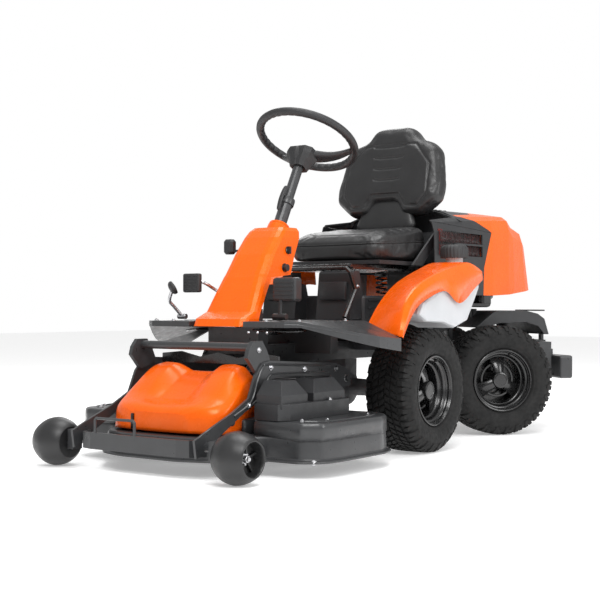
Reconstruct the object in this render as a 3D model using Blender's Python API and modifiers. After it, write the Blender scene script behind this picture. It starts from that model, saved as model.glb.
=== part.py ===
"""Front-deck riding mower with an articulated rear section, as separate pieces on their joints.

Metres, +Z up, -Y the machine's front, +X its left. Shapes are laid out in machine coordinates: y = 0 at
the front axle, x = 0 on the centre line, z = 0 on the ground, rear section straight. An empty for each
moving body sits on its joint axis, and the rear section's empty holds its resting steering angle.
"""

from math import cos, pi, radians, sin

import bmesh
import bpy
from mathutils import Matrix, Vector

# ---------------------------------------------------------------- driving dimensions
TYRE_RADIUS = 0.2035
TYRE_WIDTH = 0.170
BEAD_RADIUS = 0.1062
RIM_RADIUS = 0.1160
WHEELBASE = 0.887
FRONT_TRACK = 0.712
REAR_TRACK = 0.627
PIVOT_TO_AXLE = 0.1233
REST_STEER = radians(-40.15)
GAP = 0.0005

PIVOT_Y = WHEELBASE - PIVOT_TO_AXLE
AXLE_Z = TYRE_RADIUS
FRONT_HUB_X = FRONT_TRACK / 2
REAR_HUB_X = REAR_TRACK / 2

SUPPORT_RADIUS = 0.0731
SUPPORT_WIDTH = 0.112
SUPPORT_HUB = Vector((0.347, -0.929, SUPPORT_RADIUS))

COLUMN_TILT = radians(28)
COLUMN_DIRECTION = Vector((0, sin(COLUMN_TILT), cos(COLUMN_TILT)))
WHEEL_CENTRE = Vector((0, -0.1187, 1.043))
WHEEL_RING_RADIUS = 0.166
WHEEL_RING_THICKNESS = 0.0145

FLOOR_TOP = 0.433
FLOOR_BOTTOM = 0.415
FLOOR_SIDE_X = 0.30
FLOOR_HALF = 0.445
FRAME_TOP = FLOOR_BOTTOM - GAP
RAIL_BOTTOM = 0.300
RAIL_TOP = 0.360
PLATFORM_BOTTOM = 0.478
PLATFORM_TOP = 0.490

ARM_X = 0.235
ARM_THICKNESS = 0.008
EAR_X = 0.2255
LIFT_AXIS = Vector((0, -0.240, 0.250))
LIFT_SHAFT_RADIUS = 0.010

DECK_BOTTOM = 0.037
DECK_TOP = 0.155
DECK_WALL = 0.006
SPINDLES = {
    "centre": (Vector((0, -0.700, 0)), 0.176),
    "left": (Vector((0.280, -0.490, 0)), 0.168),
    "right": (Vector((-0.280, -0.490, 0)), 0.168),
}
SPINDLE_RADIUS = 0.0125

SEAT_HINGE = Vector((0, -0.095, 0.612))
CARRIER_BOTTOM = 0.6035
CARRIER_TOP = 0.615
HOOD_HINGE = Vector((0, 1.095, 0.530))
TANK_NECK = Vector((0.360, 0.258, 0))

LIFT_HALF = 0.250
KEY_PLACE = Vector((0.078, -0.334, 0.659))
KNOB_PLACE = Vector((0.082, -0.357, 0.602))
THROTTLE_HINGE = Vector((-0.080, -0.360, 0.661))
FORWARD_HINGE = Vector((-0.098, -0.455, 0.520))
REVERSE_HINGE = Vector((-0.240, -0.485, 0.446))
BRAKE_HINGE = Vector((0.150, -0.475, 0.446))
LEVER_HINGE = Vector((-0.225, 0.020, 0.470))
BACK_TILT = radians(13)
BACK_FOOT = Vector((0, 0.352, 0.790))
TUBE_Y, TUBE_Z = -0.690, 0.360

# Machine coordinates of the point under the middle of the whole model's box, the model's origin.
ORIGIN = Vector((0.00439, 0.13764, 0))

# ---------------------------------------------------------------- scene and collections
for old in list(bpy.data.objects):
    bpy.data.objects.remove(old)
PARTS = bpy.data.collections.new("riding_mower")
HELPERS = bpy.data.collections.new("cutters")
bpy.context.scene.collection.children.link(PARTS)
bpy.context.scene.collection.children.link(HELPERS)

# ---------------------------------------------------------------- materials
COLOURS = {
    "orange": ((0.95, 0.16, 0.01), 0.28, 0.0),
    "dark_plastic": ((0.035, 0.036, 0.038), 0.50, 0.0),
    "dark_paint": ((0.070, 0.072, 0.075), 0.42, 0.0),
    "black_paint": ((0.012, 0.012, 0.013), 0.40, 0.0),
    "vinyl": ((0.016, 0.016, 0.017), 0.48, 0.0),
    "tyre": ((0.013, 0.013, 0.013), 0.80, 0.0),
    "tank": ((0.80, 0.81, 0.82), 0.35, 0.0),
    "steel": ((0.60, 0.60, 0.62), 0.28, 1.0),
    "casting": ((0.25, 0.25, 0.26), 0.55, 0.8),
}


def make_materials():
    made = {}
    for name, (colour, roughness, metallic) in COLOURS.items():
        material = bpy.data.materials.new(name)
        material.use_nodes = True
        shader = material.node_tree.nodes["Principled BSDF"]
        shader.inputs["Base Color"].default_value = (*colour, 1)
        shader.inputs["Roughness"].default_value = roughness
        shader.inputs["Metallic"].default_value = metallic
        made[name] = material
    return made


MATERIALS = make_materials()

# ---------------------------------------------------------------- bodies and their empties
BODIES = {}


def add_body(name, origin, parent=None, turn=0.0):
    """An empty on a joint axis. Its pieces are placed from the axis point, in machine coordinates."""
    empty = bpy.data.objects.new(name + "_axis", None)
    empty.empty_display_size = 0.03
    PARTS.objects.link(empty)
    origin = Vector(origin)
    if parent is None:
        empty.location = -ORIGIN
    else:
        parent_empty, parent_origin = BODIES[parent]
        empty.parent = parent_empty
        empty.location = origin - parent_origin
    empty.rotation_euler = (0, 0, turn)
    BODIES[name] = (empty, origin)


def add_part(name, shape, material, body):
    """Moves a finished shape's mesh onto a body, as the object called name."""
    empty, origin = BODIES[body]
    mesh = shape.data
    mesh.transform(Matrix.Translation(-origin))
    mesh.name = name
    mesh.materials.clear()
    mesh.materials.append(MATERIALS[material])
    mesh.shade_smooth()
    mesh.set_sharp_from_angle(angle=radians(35))
    bpy.data.objects.remove(shape)
    part = bpy.data.objects.new(name, mesh)
    part.parent = empty
    PARTS.objects.link(part)
    return part


# ---------------------------------------------------------------- shape tools
def shape_of(mesh):
    shape = bpy.data.objects.new("shape", mesh)
    shape.hide_render = True
    shape.display_type = "WIRE"
    HELPERS.objects.link(shape)
    return shape


def shape_of_bmesh(bm):
    mesh = bpy.data.meshes.new("shape")
    bm.to_mesh(mesh)
    bm.free()
    return shape_of(mesh)


def applied(shape):
    """The shape with its modifiers made real, its points welded and its faces turned outwards."""
    graph = bpy.context.evaluated_depsgraph_get()
    mesh = bpy.data.meshes.new_from_object(shape.evaluated_get(graph))
    mesh.transform(shape.matrix_world)
    bpy.data.objects.remove(shape)
    bm = bmesh.new()
    bm.from_mesh(mesh)
    bmesh.ops.remove_doubles(bm, verts=bm.verts, dist=1e-5)
    bmesh.ops.recalc_face_normals(bm, faces=bm.faces)
    bm.to_mesh(mesh)
    bm.free()
    return shape_of(mesh)


def joined(operation, shape, others):
    for other in others:
        modifier = shape.modifiers.new(operation, "BOOLEAN")
        modifier.operation = operation
        modifier.object = other
        shape = applied(shape)
        bpy.data.objects.remove(other)
    return shape


def union(shape, *others):
    return joined("UNION", shape, others)


def cut(shape, *cutters):
    return joined("DIFFERENCE", shape, cutters)


def common(shape, *others):
    return joined("INTERSECT", shape, others)


def rounded(shape, width, segments=2, angle=40):
    """Rounds the edges that turn by more than angle degrees."""
    modifier = shape.modifiers.new("round", "BEVEL")
    modifier.width = width
    modifier.segments = segments
    modifier.limit_method = "ANGLE"
    modifier.angle_limit = radians(angle)
    return applied(shape)


def box(low, high, radius=0.0, segments=1):
    low, high = Vector(low), Vector(high)
    bm = bmesh.new()
    bmesh.ops.create_cube(bm, size=1)
    for vertex in bm.verts:
        for axis in range(3):
            vertex.co[axis] = low[axis] if vertex.co[axis] < 0 else high[axis]
    if radius:
        bmesh.ops.bevel(bm, geom=bm.edges[:], offset=radius, segments=segments, profile=0.5, affect="EDGES")
    return shape_of_bmesh(bm)


def rod(start, end, radius, sides=16):
    """A straight round bar."""
    start, end = Vector(start), Vector(end)
    along = end - start
    bm = bmesh.new()
    place = Matrix.Translation((start + end) / 2) @ along.to_track_quat("Z", "Y").to_matrix().to_4x4()
    bmesh.ops.create_cone(
        bm, cap_ends=True, segments=sides, radius1=radius, radius2=radius, depth=along.length, matrix=place
    )
    return shape_of_bmesh(bm)


def tube(points, radius, resolution=2, cyclic=False):
    """A bent round bar along straight runs between points."""
    curve = bpy.data.curves.new("tube", "CURVE")
    curve.dimensions = "3D"
    curve.bevel_depth = radius
    curve.bevel_resolution = resolution
    curve.use_fill_caps = not cyclic
    spline = curve.splines.new("POLY")
    spline.points.add(len(points) - 1)
    for point, place in zip(spline.points, points):
        point.co = (*place, 1)
    spline.use_cyclic_u = cyclic
    shape = bpy.data.objects.new("tube", curve)
    HELPERS.objects.link(shape)
    return applied(shape)


PLANES = {
    "X": Matrix(((0, 0, 1, 0), (1, 0, 0, 0), (0, 1, 0, 0), (0, 0, 0, 1))),
    "Y": Matrix(((1, 0, 0, 0), (0, 0, -1, 0), (0, 1, 0, 0), (0, 0, 0, 1))),
    "Z": Matrix.Identity(4),
}


def plate(outline, low, high, normal):
    """A flat outline given a thickness from low to high along its normal axis.

    The outline's two numbers are (y, z) for normal X, (x, z) for normal Y and (x, y) for normal Z.
    """
    curve = bpy.data.curves.new("plate", "CURVE")
    curve.dimensions = "2D"
    curve.fill_mode = "BOTH"
    curve.extrude = (high - low) / 2
    spline = curve.splines.new("POLY")
    spline.points.add(len(outline) - 1)
    for point, (u, v) in zip(spline.points, outline):
        point.co = (u, v, 0, 1)
    spline.use_cyclic_u = True
    shape = bpy.data.objects.new("plate", curve)
    HELPERS.objects.link(shape)
    middle = (low + high) / 2
    offset = -middle if normal == "Y" else middle
    shape.matrix_world = PLANES[normal] @ Matrix.Translation((0, 0, offset))
    bpy.context.view_layer.update()
    return applied(shape)


def turned(profile, centre, axis, steps=24, ring=False):
    """A profile of (radius, distance along the axis) turned about the axis through centre."""
    mesh = bpy.data.meshes.new("profile")
    count = len(profile)
    edges = [(i, (i + 1) % count) for i in range(count if ring else count - 1)]
    mesh.from_pydata([(radius, 0, along) for radius, along in profile], edges, [])
    shape = shape_of(mesh)
    screw = shape.modifiers.new("turn", "SCREW")
    screw.steps = steps
    screw.render_steps = steps
    screw.use_merge_vertices = True
    screw.merge_threshold = 0.00002
    shape = applied(shape)
    turn = Vector(axis).to_track_quat("Z", "Y").to_matrix().to_4x4()
    shape.data.transform(Matrix.Translation(Vector(centre)) @ turn)
    return shape


def loft(rings):
    """A solid through rings that have the same number of points, with flat ends."""
    bm = bmesh.new()
    rows = [[bm.verts.new(point) for point in ring] for ring in rings]
    for row, following in zip(rows, rows[1:]):
        for i in range(len(row)):
            j = (i + 1) % len(row)
            bm.faces.new((row[i], row[j], following[j], following[i]))
    bm.faces.new(rows[0])
    bm.faces.new(rows[-1])
    bmesh.ops.recalc_face_normals(bm, faces=bm.faces)
    return shape_of_bmesh(bm)


def sheet(rows, thickness):
    """An open surface through rows of points, thickened on its under side."""
    bm = bmesh.new()
    grid = [[bm.verts.new(point) for point in row] for row in rows]
    for row, following in zip(grid, grid[1:]):
        for i in range(len(row) - 1):
            bm.faces.new((row[i], row[i + 1], following[i + 1], following[i]))
    shape = shape_of_bmesh(bm)
    solidify = shape.modifiers.new("thickness", "SOLIDIFY")
    solidify.thickness = thickness
    solidify.offset = -1
    solidify.use_even_offset = True
    return applied(shape)


def mirrored(shape):
    """A copy of the shape on the machine's other side."""
    mesh = shape.data.copy()
    mesh.transform(Matrix.Scale(-1, 4, (1, 0, 0)))
    mesh.flip_normals()
    return shape_of(mesh)


def both_sides(half):
    """The full outline of a half outline that runs from the front to the back on the left."""
    return half + [(-x, y) for x, y in reversed(half)]


def corner(centre, radius, start, end, steps):
    """Points on an arc, angles in degrees."""
    angles = [radians(start + (end - start) * i / steps) for i in range(steps + 1)]
    return [(centre[0] + radius * cos(a), centre[1] + radius * sin(a)) for a in angles]


def inset(outline, distance):
    """The outline moved inwards by distance; it runs anticlockwise."""
    moved = []
    count = len(outline)
    for i in range(count):
        before, here, after = (Vector(outline[(i + k) % count]) for k in (-1, 0, 1))
        first, second = (here - before).normalized(), (after - here).normalized()
        normals = [Vector((-edge.y, edge.x)) for edge in (first, second)]
        middle = (normals[0] + normals[1]).normalized()
        moved.append(tuple(here + middle * distance / middle.dot(normals[0])))
    return moved


def column_point(distance):
    """The point on the steering column's axis this far below the steering wheel's ring."""
    return WHEEL_CENTRE - COLUMN_DIRECTION * distance


# ---------------------------------------------------------------- chassis
def main_frame():
    rail_x, rail_width = 0.070, 0.030
    pieces = []
    for side in (-1, 1):
        low_x, high_x = sorted((side * rail_x, side * (rail_x + rail_width)))
        pieces.append(box((low_x, -0.500, RAIL_BOTTOM), (high_x, 0.620, RAIL_TOP)))
        pieces.append(box((low_x, 0.400, RAIL_TOP - 0.01), (high_x, 0.560, PLATFORM_BOTTOM + 0.005)))
        inner, outer = sorted((side * 0.074, side * 0.084))
        drop = [(-0.300, RAIL_BOTTOM + 0.02), (-0.262, 0.232), (-0.218, 0.232), (-0.180, RAIL_BOTTOM + 0.02)]
        pieces.append(plate(drop, inner, outer, "X"))
    members = ((-0.520, -0.470, 0.10), (-0.330, -0.290, 0.24), (0.02, 0.08, 0.24), (0.28, 0.32, 0.24))
    for y_low, y_high, half in members:
        pieces.append(box((-half, y_low, RAIL_TOP - 0.03), (half, y_high, FRAME_TOP - 0.0001 * len(pieces))))
    pieces.append(box((-0.030, -0.4705, RAIL_TOP), (0.030, -0.405, 0.470)))
    pieces.append(box((-0.100, 0.575, RAIL_BOTTOM + 0.004), (0.100, 0.615, RAIL_TOP - 0.004)))
    pieces.append(box((-0.030, 0.600, RAIL_BOTTOM), (0.030, PIVOT_Y, RAIL_TOP - 0.002)))
    pieces.append(rod((0, PIVOT_Y, 0.250), (0, PIVOT_Y, 0.380), 0.036, 24))
    pieces.append(box((-0.200, 0.395, PLATFORM_BOTTOM), (0.200, 0.850, PLATFORM_TOP)))
    pieces.append(box((-0.050, 0.830, PLATFORM_BOTTOM + 0.001), (0.050, 1.050, PLATFORM_TOP - 0.001)))
    reach = Vector((LIFT_HALF, 0, 0))
    pieces.append(rod(LIFT_AXIS - reach, LIFT_AXIS + reach, LIFT_SHAFT_RADIUS))
    frame = union(pieces[2], *(pieces[:2] + pieces[3:]))
    return cut(frame, rod((0, PIVOT_Y, 0.2), (0, PIVOT_Y, 0.42), 0.0155, 24))


def transaxle(y, hub_x, mount_top):
    """A hydrostatic axle: round housing, axle tubes and the shafts that carry the wheels."""
    tube_end = hub_x - 0.105
    shaft_end = hub_x - 0.012
    half = [(0.0125, shaft_end), (0.0125, tube_end), (0.026, tube_end), (0.030, 0.110), (0.062, 0.090)]
    profile = [(0, shaft_end)] + half + [(radius, -along) for radius, along in reversed(half)] + [(0, -shaft_end)]
    body = turned(profile, (0, y, AXLE_Z), (1, 0, 0), 20)
    return union(body, box((-0.1, y - 0.035, AXLE_Z + 0.02), (0.1, y + 0.035, mount_top)))


def footplate():
    notch_x, notch_y = 0.107, -0.385
    half = [(0.107, -0.605), (0.262, -0.605), (0.292, -0.587), (0.360, -0.500), (0.410, -0.430)]
    half += [(FLOOR_HALF, -0.370), (FLOOR_HALF, -0.242), (0.262, -0.2150), (0.245, -0.140)]
    outline = [(notch_x, notch_y)] + half + [(-x, y) for x, y in reversed(half)] + [(-notch_x, notch_y)]
    shape = plate(outline, FLOOR_BOTTOM, FLOOR_TOP, "Z")
    bm = bmesh.new()
    bm.from_mesh(shape.data)
    for fold in (-FLOOR_SIDE_X, FLOOR_SIDE_X):
        everything = bm.verts[:] + bm.edges[:] + bm.faces[:]
        bmesh.ops.bisect_plane(bm, geom=everything, plane_co=(fold, 0, 0), plane_no=(1, 0, 0))
    for vertex in bm.verts:
        reach = max(0.0, abs(vertex.co.x) - FLOOR_SIDE_X) / (FLOOR_HALF - FLOOR_SIDE_X)
        back = max(0.0, vertex.co.y + 0.370)
        drop = 0.045 + 0.070 * back
        if vertex.co.z < FLOOR_BOTTOM + 0.005:
            drop += 0.016 + 0.050 * back
        vertex.co.z -= reach * drop
    bm.to_mesh(shape.data)
    bm.free()
    return shape


CONSOLE_LEVELS = [
    # height, half width, front y, back y
    (0.417, 0.103, -0.606, -0.512),
    (0.440, 0.102, -0.597, -0.508),
    (0.462, 0.097, -0.545, -0.493),
    (0.522, 0.090, -0.510, -0.453),
    (0.570, 0.083, -0.482, -0.420),
    (0.580, 0.082, -0.475, -0.317),
    (0.643, 0.077, -0.434, -0.288),
    (0.700, 0.074, -0.388, -0.258),
    (0.722, 0.071, -0.366, -0.255),
    (0.734, 0.063, -0.350, -0.258),
]


def console_ring(level, wall=0.0, z_shift=0.0):
    z, half, front, back = level
    half, front, back = half - wall, front + wall, back - wall
    nose = max(0.004, min(0.030, (back - front) * 0.45) - wall)
    heel = max(0.003, 0.010 - wall)
    points = corner((half - nose, front + nose), nose, 270, 360, 3)
    points += corner((half - heel, back - heel), heel, 0, 90, 1)
    points += corner((heel - half, back - heel), heel, 90, 180, 1)
    points += corner((nose - half, front + nose), nose, 180, 270, 3)
    return [(x, y, z + z_shift) for x, y in points]


def console_cover():
    wall = 0.004
    shell = loft([console_ring(level) for level in CONSOLE_LEVELS])
    collar = turned(
        [(0, 0.060), (0.030, 0.060), (0.036, 0.052), (0.040, 0), (0, 0)], column_point(0.398), COLUMN_DIRECTION, 20
    )
    shell = union(shell, collar)
    levels = [console_ring(level, wall) for level in CONSOLE_LEVELS[:-1]]
    levels[0] = [(x, y, z - 0.02) for x, y, z in levels[0]]
    shell = cut(shell, loft(levels))
    shell = cut(shell, rod(column_point(0.46), column_point(0.30), 0.0225, 20))
    for place in (KEY_PLACE, KNOB_PLACE):
        shell = cut(shell, rod(place - Vector((0.03, 0, 0)), place + Vector((0.03, 0, 0)), 0.0095, 12))
    return cut(shell, box((-0.09, -0.385, 0.655), (-0.065, -0.335, 0.667)))


def column_tube():
    profile = [(0.0212, 0.0), (0.0212, -0.250), (0.0177, -0.250), (0.0177, 0.0)]
    return turned(profile, column_point(0.235), COLUMN_DIRECTION, 16, ring=True)


def seat_support():
    base = box((-0.190, -0.060, FLOOR_BOTTOM), (0.190, 0.335, 0.515), 0.008)
    front = [(-0.132, FLOOR_BOTTOM + 0.02), (-0.112, 0.590), (-0.102, 0.597), (-0.075, 0.597), (-0.040, 0.4795)]
    front += [(-0.040, FLOOR_BOTTOM + 0.02)]
    left = plate(front, 0.044, 0.182, "X")
    low_front = [(y, min(z, 0.555)) for y, z in front]
    right = plate([low_front[0], (-0.116, 0.555), (-0.064, 0.555), low_front[-2], low_front[-1]], -0.182, -0.044, "X")
    tower = box((-0.150, -0.055, 0.50), (-0.110, 0.000, 0.597))
    return union(base, left, right, tower)


def seat_stay():
    """One bent tube: up from the footplate on one side, across under the seat's front, and down again."""
    half = [(0.198, -0.190, FLOOR_TOP + 0.009), (0.198, -0.125, 0.535), (0.194, -0.150, 0.592), (0.180, -0.150, 0.604)]
    return tube(half + [(-x, y, z) for x, y, z in reversed(half)], 0.008, 1)


def seat_spring():
    turns, step_count, radius = 5, 45, 0.020
    low, high, wire = 0.515 + GAP + 0.004, CARRIER_BOTTOM - GAP - 0.004, 0.0038
    points = []
    for i in range(step_count + 1):
        share = i / step_count
        angle = 2 * pi * turns * share
        points.append((0.150 + radius * cos(angle), 0.120 + radius * sin(angle), low + (high - low) * share))
    return tube(points, wire, 0)


FENDER_STATIONS = [
    # (y, z) at the inner edge, at the crease and at the lower outer edge
    ((-0.181, 0.386), (-0.238, 0.386), (-0.228, 0.380)),
    ((-0.155, 0.424), (-0.224, 0.430), (-0.195, 0.425)),
    ((-0.094, 0.486), (-0.190, 0.495), (-0.145, 0.473)),
    ((-0.006, 0.546), (-0.110, 0.548), (-0.070, 0.505)),
    ((0.085, 0.583), (0.010, 0.587), (0.046, 0.529)),
    ((0.180, 0.612), (0.120, 0.611), (0.144, 0.489)),
    ((0.245, 0.630), (0.225, 0.628), (0.250, 0.540)),
    ((0.305, 0.630), (0.300, 0.612), (0.312, 0.572)),
]
# The right fender is shorter: it starts behind the footplate.
RIGHT_FENDER_FRONT = ((0.000, 0.540), (-0.050, 0.545), (-0.030, 0.500))
FENDER_INNER_X, FENDER_CREASE_X, FENDER_OUTER_X = 0.262, 0.432, 0.4445


def fender(stations, inner_drop):
    rows = []
    for (y_in, z_in), (y_crease, z_crease), (y_low, z_low) in stations:
        middle = (FENDER_INNER_X + FENDER_CREASE_X) / 2
        row = [(FENDER_INNER_X, y_in, z_in - inner_drop), (FENDER_INNER_X + 0.012, y_in, z_in)]
        row.append((middle, (y_in + y_crease) / 2, (z_in + z_crease) / 2 + 0.004))
        row.append((FENDER_CREASE_X, y_crease, z_crease))
        row.append((FENDER_OUTER_X, (y_crease * 2 + y_low) / 3, (z_crease * 2 + z_low) / 3))
        row.append((FENDER_OUTER_X - 0.001, y_low, z_low))
        rows.append(row)
    return sheet(rows, 0.004)


def fuel_tank():
    side = [(-0.105, 0.452), (-0.050, 0.428), (0.060, 0.424), (0.140, 0.406), (0.228, 0.430), (0.318, 0.545)]
    side += [(0.300, 0.596), (0.200, 0.592), (0.080, 0.560), (-0.010, 0.520), (-0.080, 0.490)]
    tank = rounded(plate(side, 0.272, 0.430, "X"), 0.012, 2, 50)
    neck = rod((TANK_NECK.x, TANK_NECK.y, 0.58), (TANK_NECK.x, TANK_NECK.y, 0.658), 0.030, 20)
    return union(tank, neck)


def fuel_cap():
    profile = [(0, 0.692), (0.034, 0.692), (0.045, 0.686), (0.049, 0.676), (0.049, 0.646), (0.0308, 0.646)]
    profile += [(0.0308, 0.662), (0, 0.662)]
    return turned(profile, (TANK_NECK.x, TANK_NECK.y, 0), (0, 0, 1), 20)


def engine_block():
    block = box((-0.130, 0.600, PLATFORM_TOP + GAP), (0.130, 0.835, 0.680), 0.012)
    cylinder = box((-0.090, 0.800, 0.560), (0.050, 0.960, 0.690), 0.010)
    fan = rod((0, 0.720, 0.660), (0, 0.720, 0.760), 0.105, 24)
    filter_box = box((-0.225, 0.640, 0.600), (-0.110, 0.800, 0.700), 0.012)
    return union(block, cylinder, fan, filter_box)


def muffler():
    can = rounded(box((0.060, 0.856, 0.4745), (0.165, 0.945, 0.570)), 0.016, 2)
    return union(can, rod((0.135, 0.900, 0.520), (0.135, 0.985, 0.520), 0.013, 12))


# ---------------------------------------------------------------- steering and controls
def column_upper_tube():
    return rod(column_point(0.440), column_point(0.090), 0.0172, 16)


def column_lever():
    top, bottom = column_point(0.200), column_point(0.300)
    outward = Vector((0, -COLUMN_DIRECTION.z, COLUMN_DIRECTION.y))
    points = [top + outward * 0.030, top.lerp(bottom, 0.35) + outward * 0.034, bottom + outward * 0.031]
    return tube([tuple(point) for point in points], 0.0068, 1)


def wheel_angle_point(angle, radius, drop=0.0):
    across = Vector((1, 0, 0))
    along = Vector((0, cos(COLUMN_TILT), -sin(COLUMN_TILT)))
    return WHEEL_CENTRE + (across * cos(angle) + along * sin(angle)) * radius - COLUMN_DIRECTION * drop


def steering_wheel():
    count = 40
    ring = [tuple(wheel_angle_point(2 * pi * i / count, WHEEL_RING_RADIUS)) for i in range(count)]
    ring = tube(ring, WHEEL_RING_THICKNESS, 2, cyclic=True)
    hub = [(0, -0.042), (0.036, -0.045), (0.042, -0.055), (0.036, -0.090), (0.024, -0.112), (0.0, -0.112)]
    hub = turned(hub, WHEEL_CENTRE, COLUMN_DIRECTION, 16)
    hub = cut(hub, rod(column_point(0.125), column_point(0.0895), 0.0176, 16))
    spokes = []
    for degrees in (30, 150):
        angle = radians(degrees)
        path = [wheel_angle_point(angle, 0.012, 0.064), wheel_angle_point(angle, 0.085, 0.055)]
        path.append(wheel_angle_point(angle, WHEEL_RING_RADIUS, 0.0))
        sideways = wheel_angle_point(angle + pi / 2, 1) - WHEEL_CENTRE
        rings = []
        for point, half, thick in zip(path, (0.026, 0.024, 0.017), (0.010, 0.008, 0.005)):
            up = COLUMN_DIRECTION * thick
            edge = sideways * half
            rings.append([point - edge - up, point + edge - up, point + edge + up, point - edge + up])
        spokes.append(loft(rings))
    return union(ring, *spokes, hub)


def throttle_lever():
    stem = box((-0.128, -0.3635, 0.6572), (-0.0755, -0.3565, 0.6648))
    grip = box((-0.162, -0.375, 0.650), (-0.122, -0.345, 0.700), 0.008)
    link = box((-0.132, -0.3645, 0.6562), (-0.120, -0.3555, 0.672))
    return union(grip, link, stem)


def knob(place, wing):
    """A round pull knob or a key with a flat wing, on a stem that goes into the console."""
    stem = rod(place - Vector((0.022, 0, 0)), place + Vector((0.004, 0, 0)), 0.0075, 12)
    if wing:
        head = box(place + Vector((0.002, -0.003, -0.012)), place + Vector((0.011, 0.003, 0.012)))
    else:
        head = rod(place + Vector((0.003, 0, 0)), place + Vector((0.011, 0, 0)), 0.0115, 14)
    return union(stem, head)


def forward_pedal():
    hinge = FORWARD_HINGE
    points = [tuple(hinge), (-0.118, -0.470, 0.535), (-0.135, -0.505, 0.556), (-0.165, -0.515, 0.558)]
    arm = tube(points, 0.0055, 1)
    pad = box((-0.199, -0.530, 0.524), (-0.132, -0.512, 0.583), 0.006)
    return union(pad, arm)


def reverse_pedal():
    hinge = REVERSE_HINGE
    points = [tuple(hinge), (-0.256, -0.530, 0.498), (-0.245, -0.538, 0.526)]
    arm = tube(points, 0.0055, 1)
    pad = rod((-0.240, -0.546, 0.533), (-0.226, -0.530, 0.545), 0.023, 16)
    foot = rod(hinge - Vector((0.018, 0, 0)), hinge + Vector((0.018, 0, 0)), 0.009, 12)
    return union(pad, arm, foot)


def brake_pedal():
    hinge = BRAKE_HINGE
    arm = tube([tuple(hinge), (0.150, -0.470, 0.500), (0.160, -0.452, 0.520)], 0.0065, 1)
    pad = box((0.118, -0.475, 0.492), (0.205, -0.430, 0.568), 0.010, 2)
    foot = rod(hinge - Vector((0.025, 0, 0)), hinge + Vector((0.025, 0, 0)), 0.010, 12)
    return union(pad, arm, foot)


def lift_lever():
    hinge = LEVER_HINGE
    points = [tuple(hinge), (-0.225, -0.060, 0.500), (-0.225, -0.150, 0.545)]
    arm = tube(points, 0.007, 1)
    grip = rod((-0.225, -0.135, 0.5375), (-0.225, -0.215, 0.5775), 0.0145, 14)
    foot = rod(hinge - Vector((0.014, 0, 0)), hinge + Vector((0.014, 0, 0)), 0.016, 14)
    return union(grip, arm, foot)


# ---------------------------------------------------------------- seat
def seat_carrier():
    plate_shape = box((-0.170, SEAT_HINGE.y, CARRIER_BOTTOM), (0.170, 0.335, CARRIER_TOP - 0.004))
    low, high = CARRIER_TOP - 0.008, CARRIER_TOP + 0.008
    rails = [box((x - 0.014, -0.070, low), (x + 0.014, 0.330, high)) for x in (-0.12, 0.12)]
    tube_shape = rod((-0.165, SEAT_HINGE.y, SEAT_HINGE.z), (0.165, SEAT_HINGE.y, SEAT_HINGE.z), 0.009, 12)
    return union(plate_shape, *rails, tube_shape)


def seat_pan():
    low = CARRIER_TOP + 0.008 + GAP
    base = box((-0.200, 0.025, low), (0.200, 0.410, low + 0.014))
    wing = [(0.215, low), (0.285, low), (0.435, 0.755), (0.398, 0.765), (0.300, 0.690)]
    sides = [plate(wing, *sorted((side * 0.211, side * 0.219)), "X") for side in (-1, 1)]
    links = [box((-0.217, 0.235, low + 0.001), (0.217, 0.285, low + 0.013))]
    spine = [(0.400, low + 0.002), (0.420, low + 0.002), (0.470, 0.810), (0.462, 0.8104)]
    back = plate(spine, -0.060, 0.060, "X")
    wall = plate([(0.404, low + 0.003), (0.416, low + 0.003), (0.446, 0.752), (0.434, 0.752)], -0.215, 0.215, "X")
    return union(base, *links, *sides, wall, back)


def seat_cushion():
    low = CARRIER_TOP + 0.008 + GAP + 0.014 + 0.0005
    outline = [(0.028, low), (0.392, low), (0.400, 0.758), (0.378, 0.780), (0.250, 0.770), (0.120, 0.752)]
    outline += [(0.030, 0.724), (0.010, 0.690)]
    pad = plate(outline, -0.208, 0.208, "X")
    return rounded(pad, 0.018, 2, 30)


def seat_backrest():
    half = [(0.150, 0.035), (0.226, 0.092), (0.203, 0.285), (0.168, 0.318), (0.108, 0.336), (0.078, 0.385)]
    outline = both_sides([(0.050, 0.085), (0.074, 0.035)] + half)
    pad = rounded(plate(outline, -0.090, 0, "Y"), 0.015, 2, 25)
    neck = plate([(-0.095, 0.002), (0.095, 0.002), (0.090, 0.130), (-0.090, 0.130)], -0.074, -0.032, "Y")
    pad = union(pad, neck)
    lean = Matrix.Translation(BACK_FOOT) @ Matrix.Rotation(-BACK_TILT, 4, "X")
    pad.data.transform(lean @ Matrix.Translation((0, 0.090, 0)))
    return pad


# ---------------------------------------------------------------- hood
HOOD_LEVELS = [
    # y, half width, underside z, side top z, middle top z, forward lean of the ring
    (0.320, 0.250, 0.520, 0.790, 0.820, 0.0),
    (0.520, 0.262, 0.520, 0.805, 0.846, 0.0),
    (0.740, 0.270, 0.520, 0.818, 0.850, 0.0),
    (0.880, 0.270, 0.525, 0.826, 0.852, 0.0),
    (0.935, 0.267, 0.530, 0.800, 0.826, 0.05),
    (1.070, 0.252, 0.540, 0.782, 0.806, 0.15),
    (1.122, 0.240, 0.545, 0.768, 0.790, 0.24),
    (1.136, 0.222, 0.553, 0.750, 0.768, 0.25),
]


def hood_ring(level, wall=0.0, sink=0.0):
    y, half, low, side, middle, lean = level
    half, side, middle, bottom = half - wall, side - wall, middle - wall, low - sink
    points = [(half, bottom), (half - 0.003, side - 0.045), (half - 0.012, side - 0.010), (half - 0.034, side + 0.006)]
    points += [(half * 0.55, middle - 0.006)]
    ring = points + [(0, middle)] + [(-x, z) for x, z in reversed(points)]
    return [(x, y - lean * max(0, z - low), z) for x, z in ring]


SEAM_STEP = 0.0006
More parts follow.
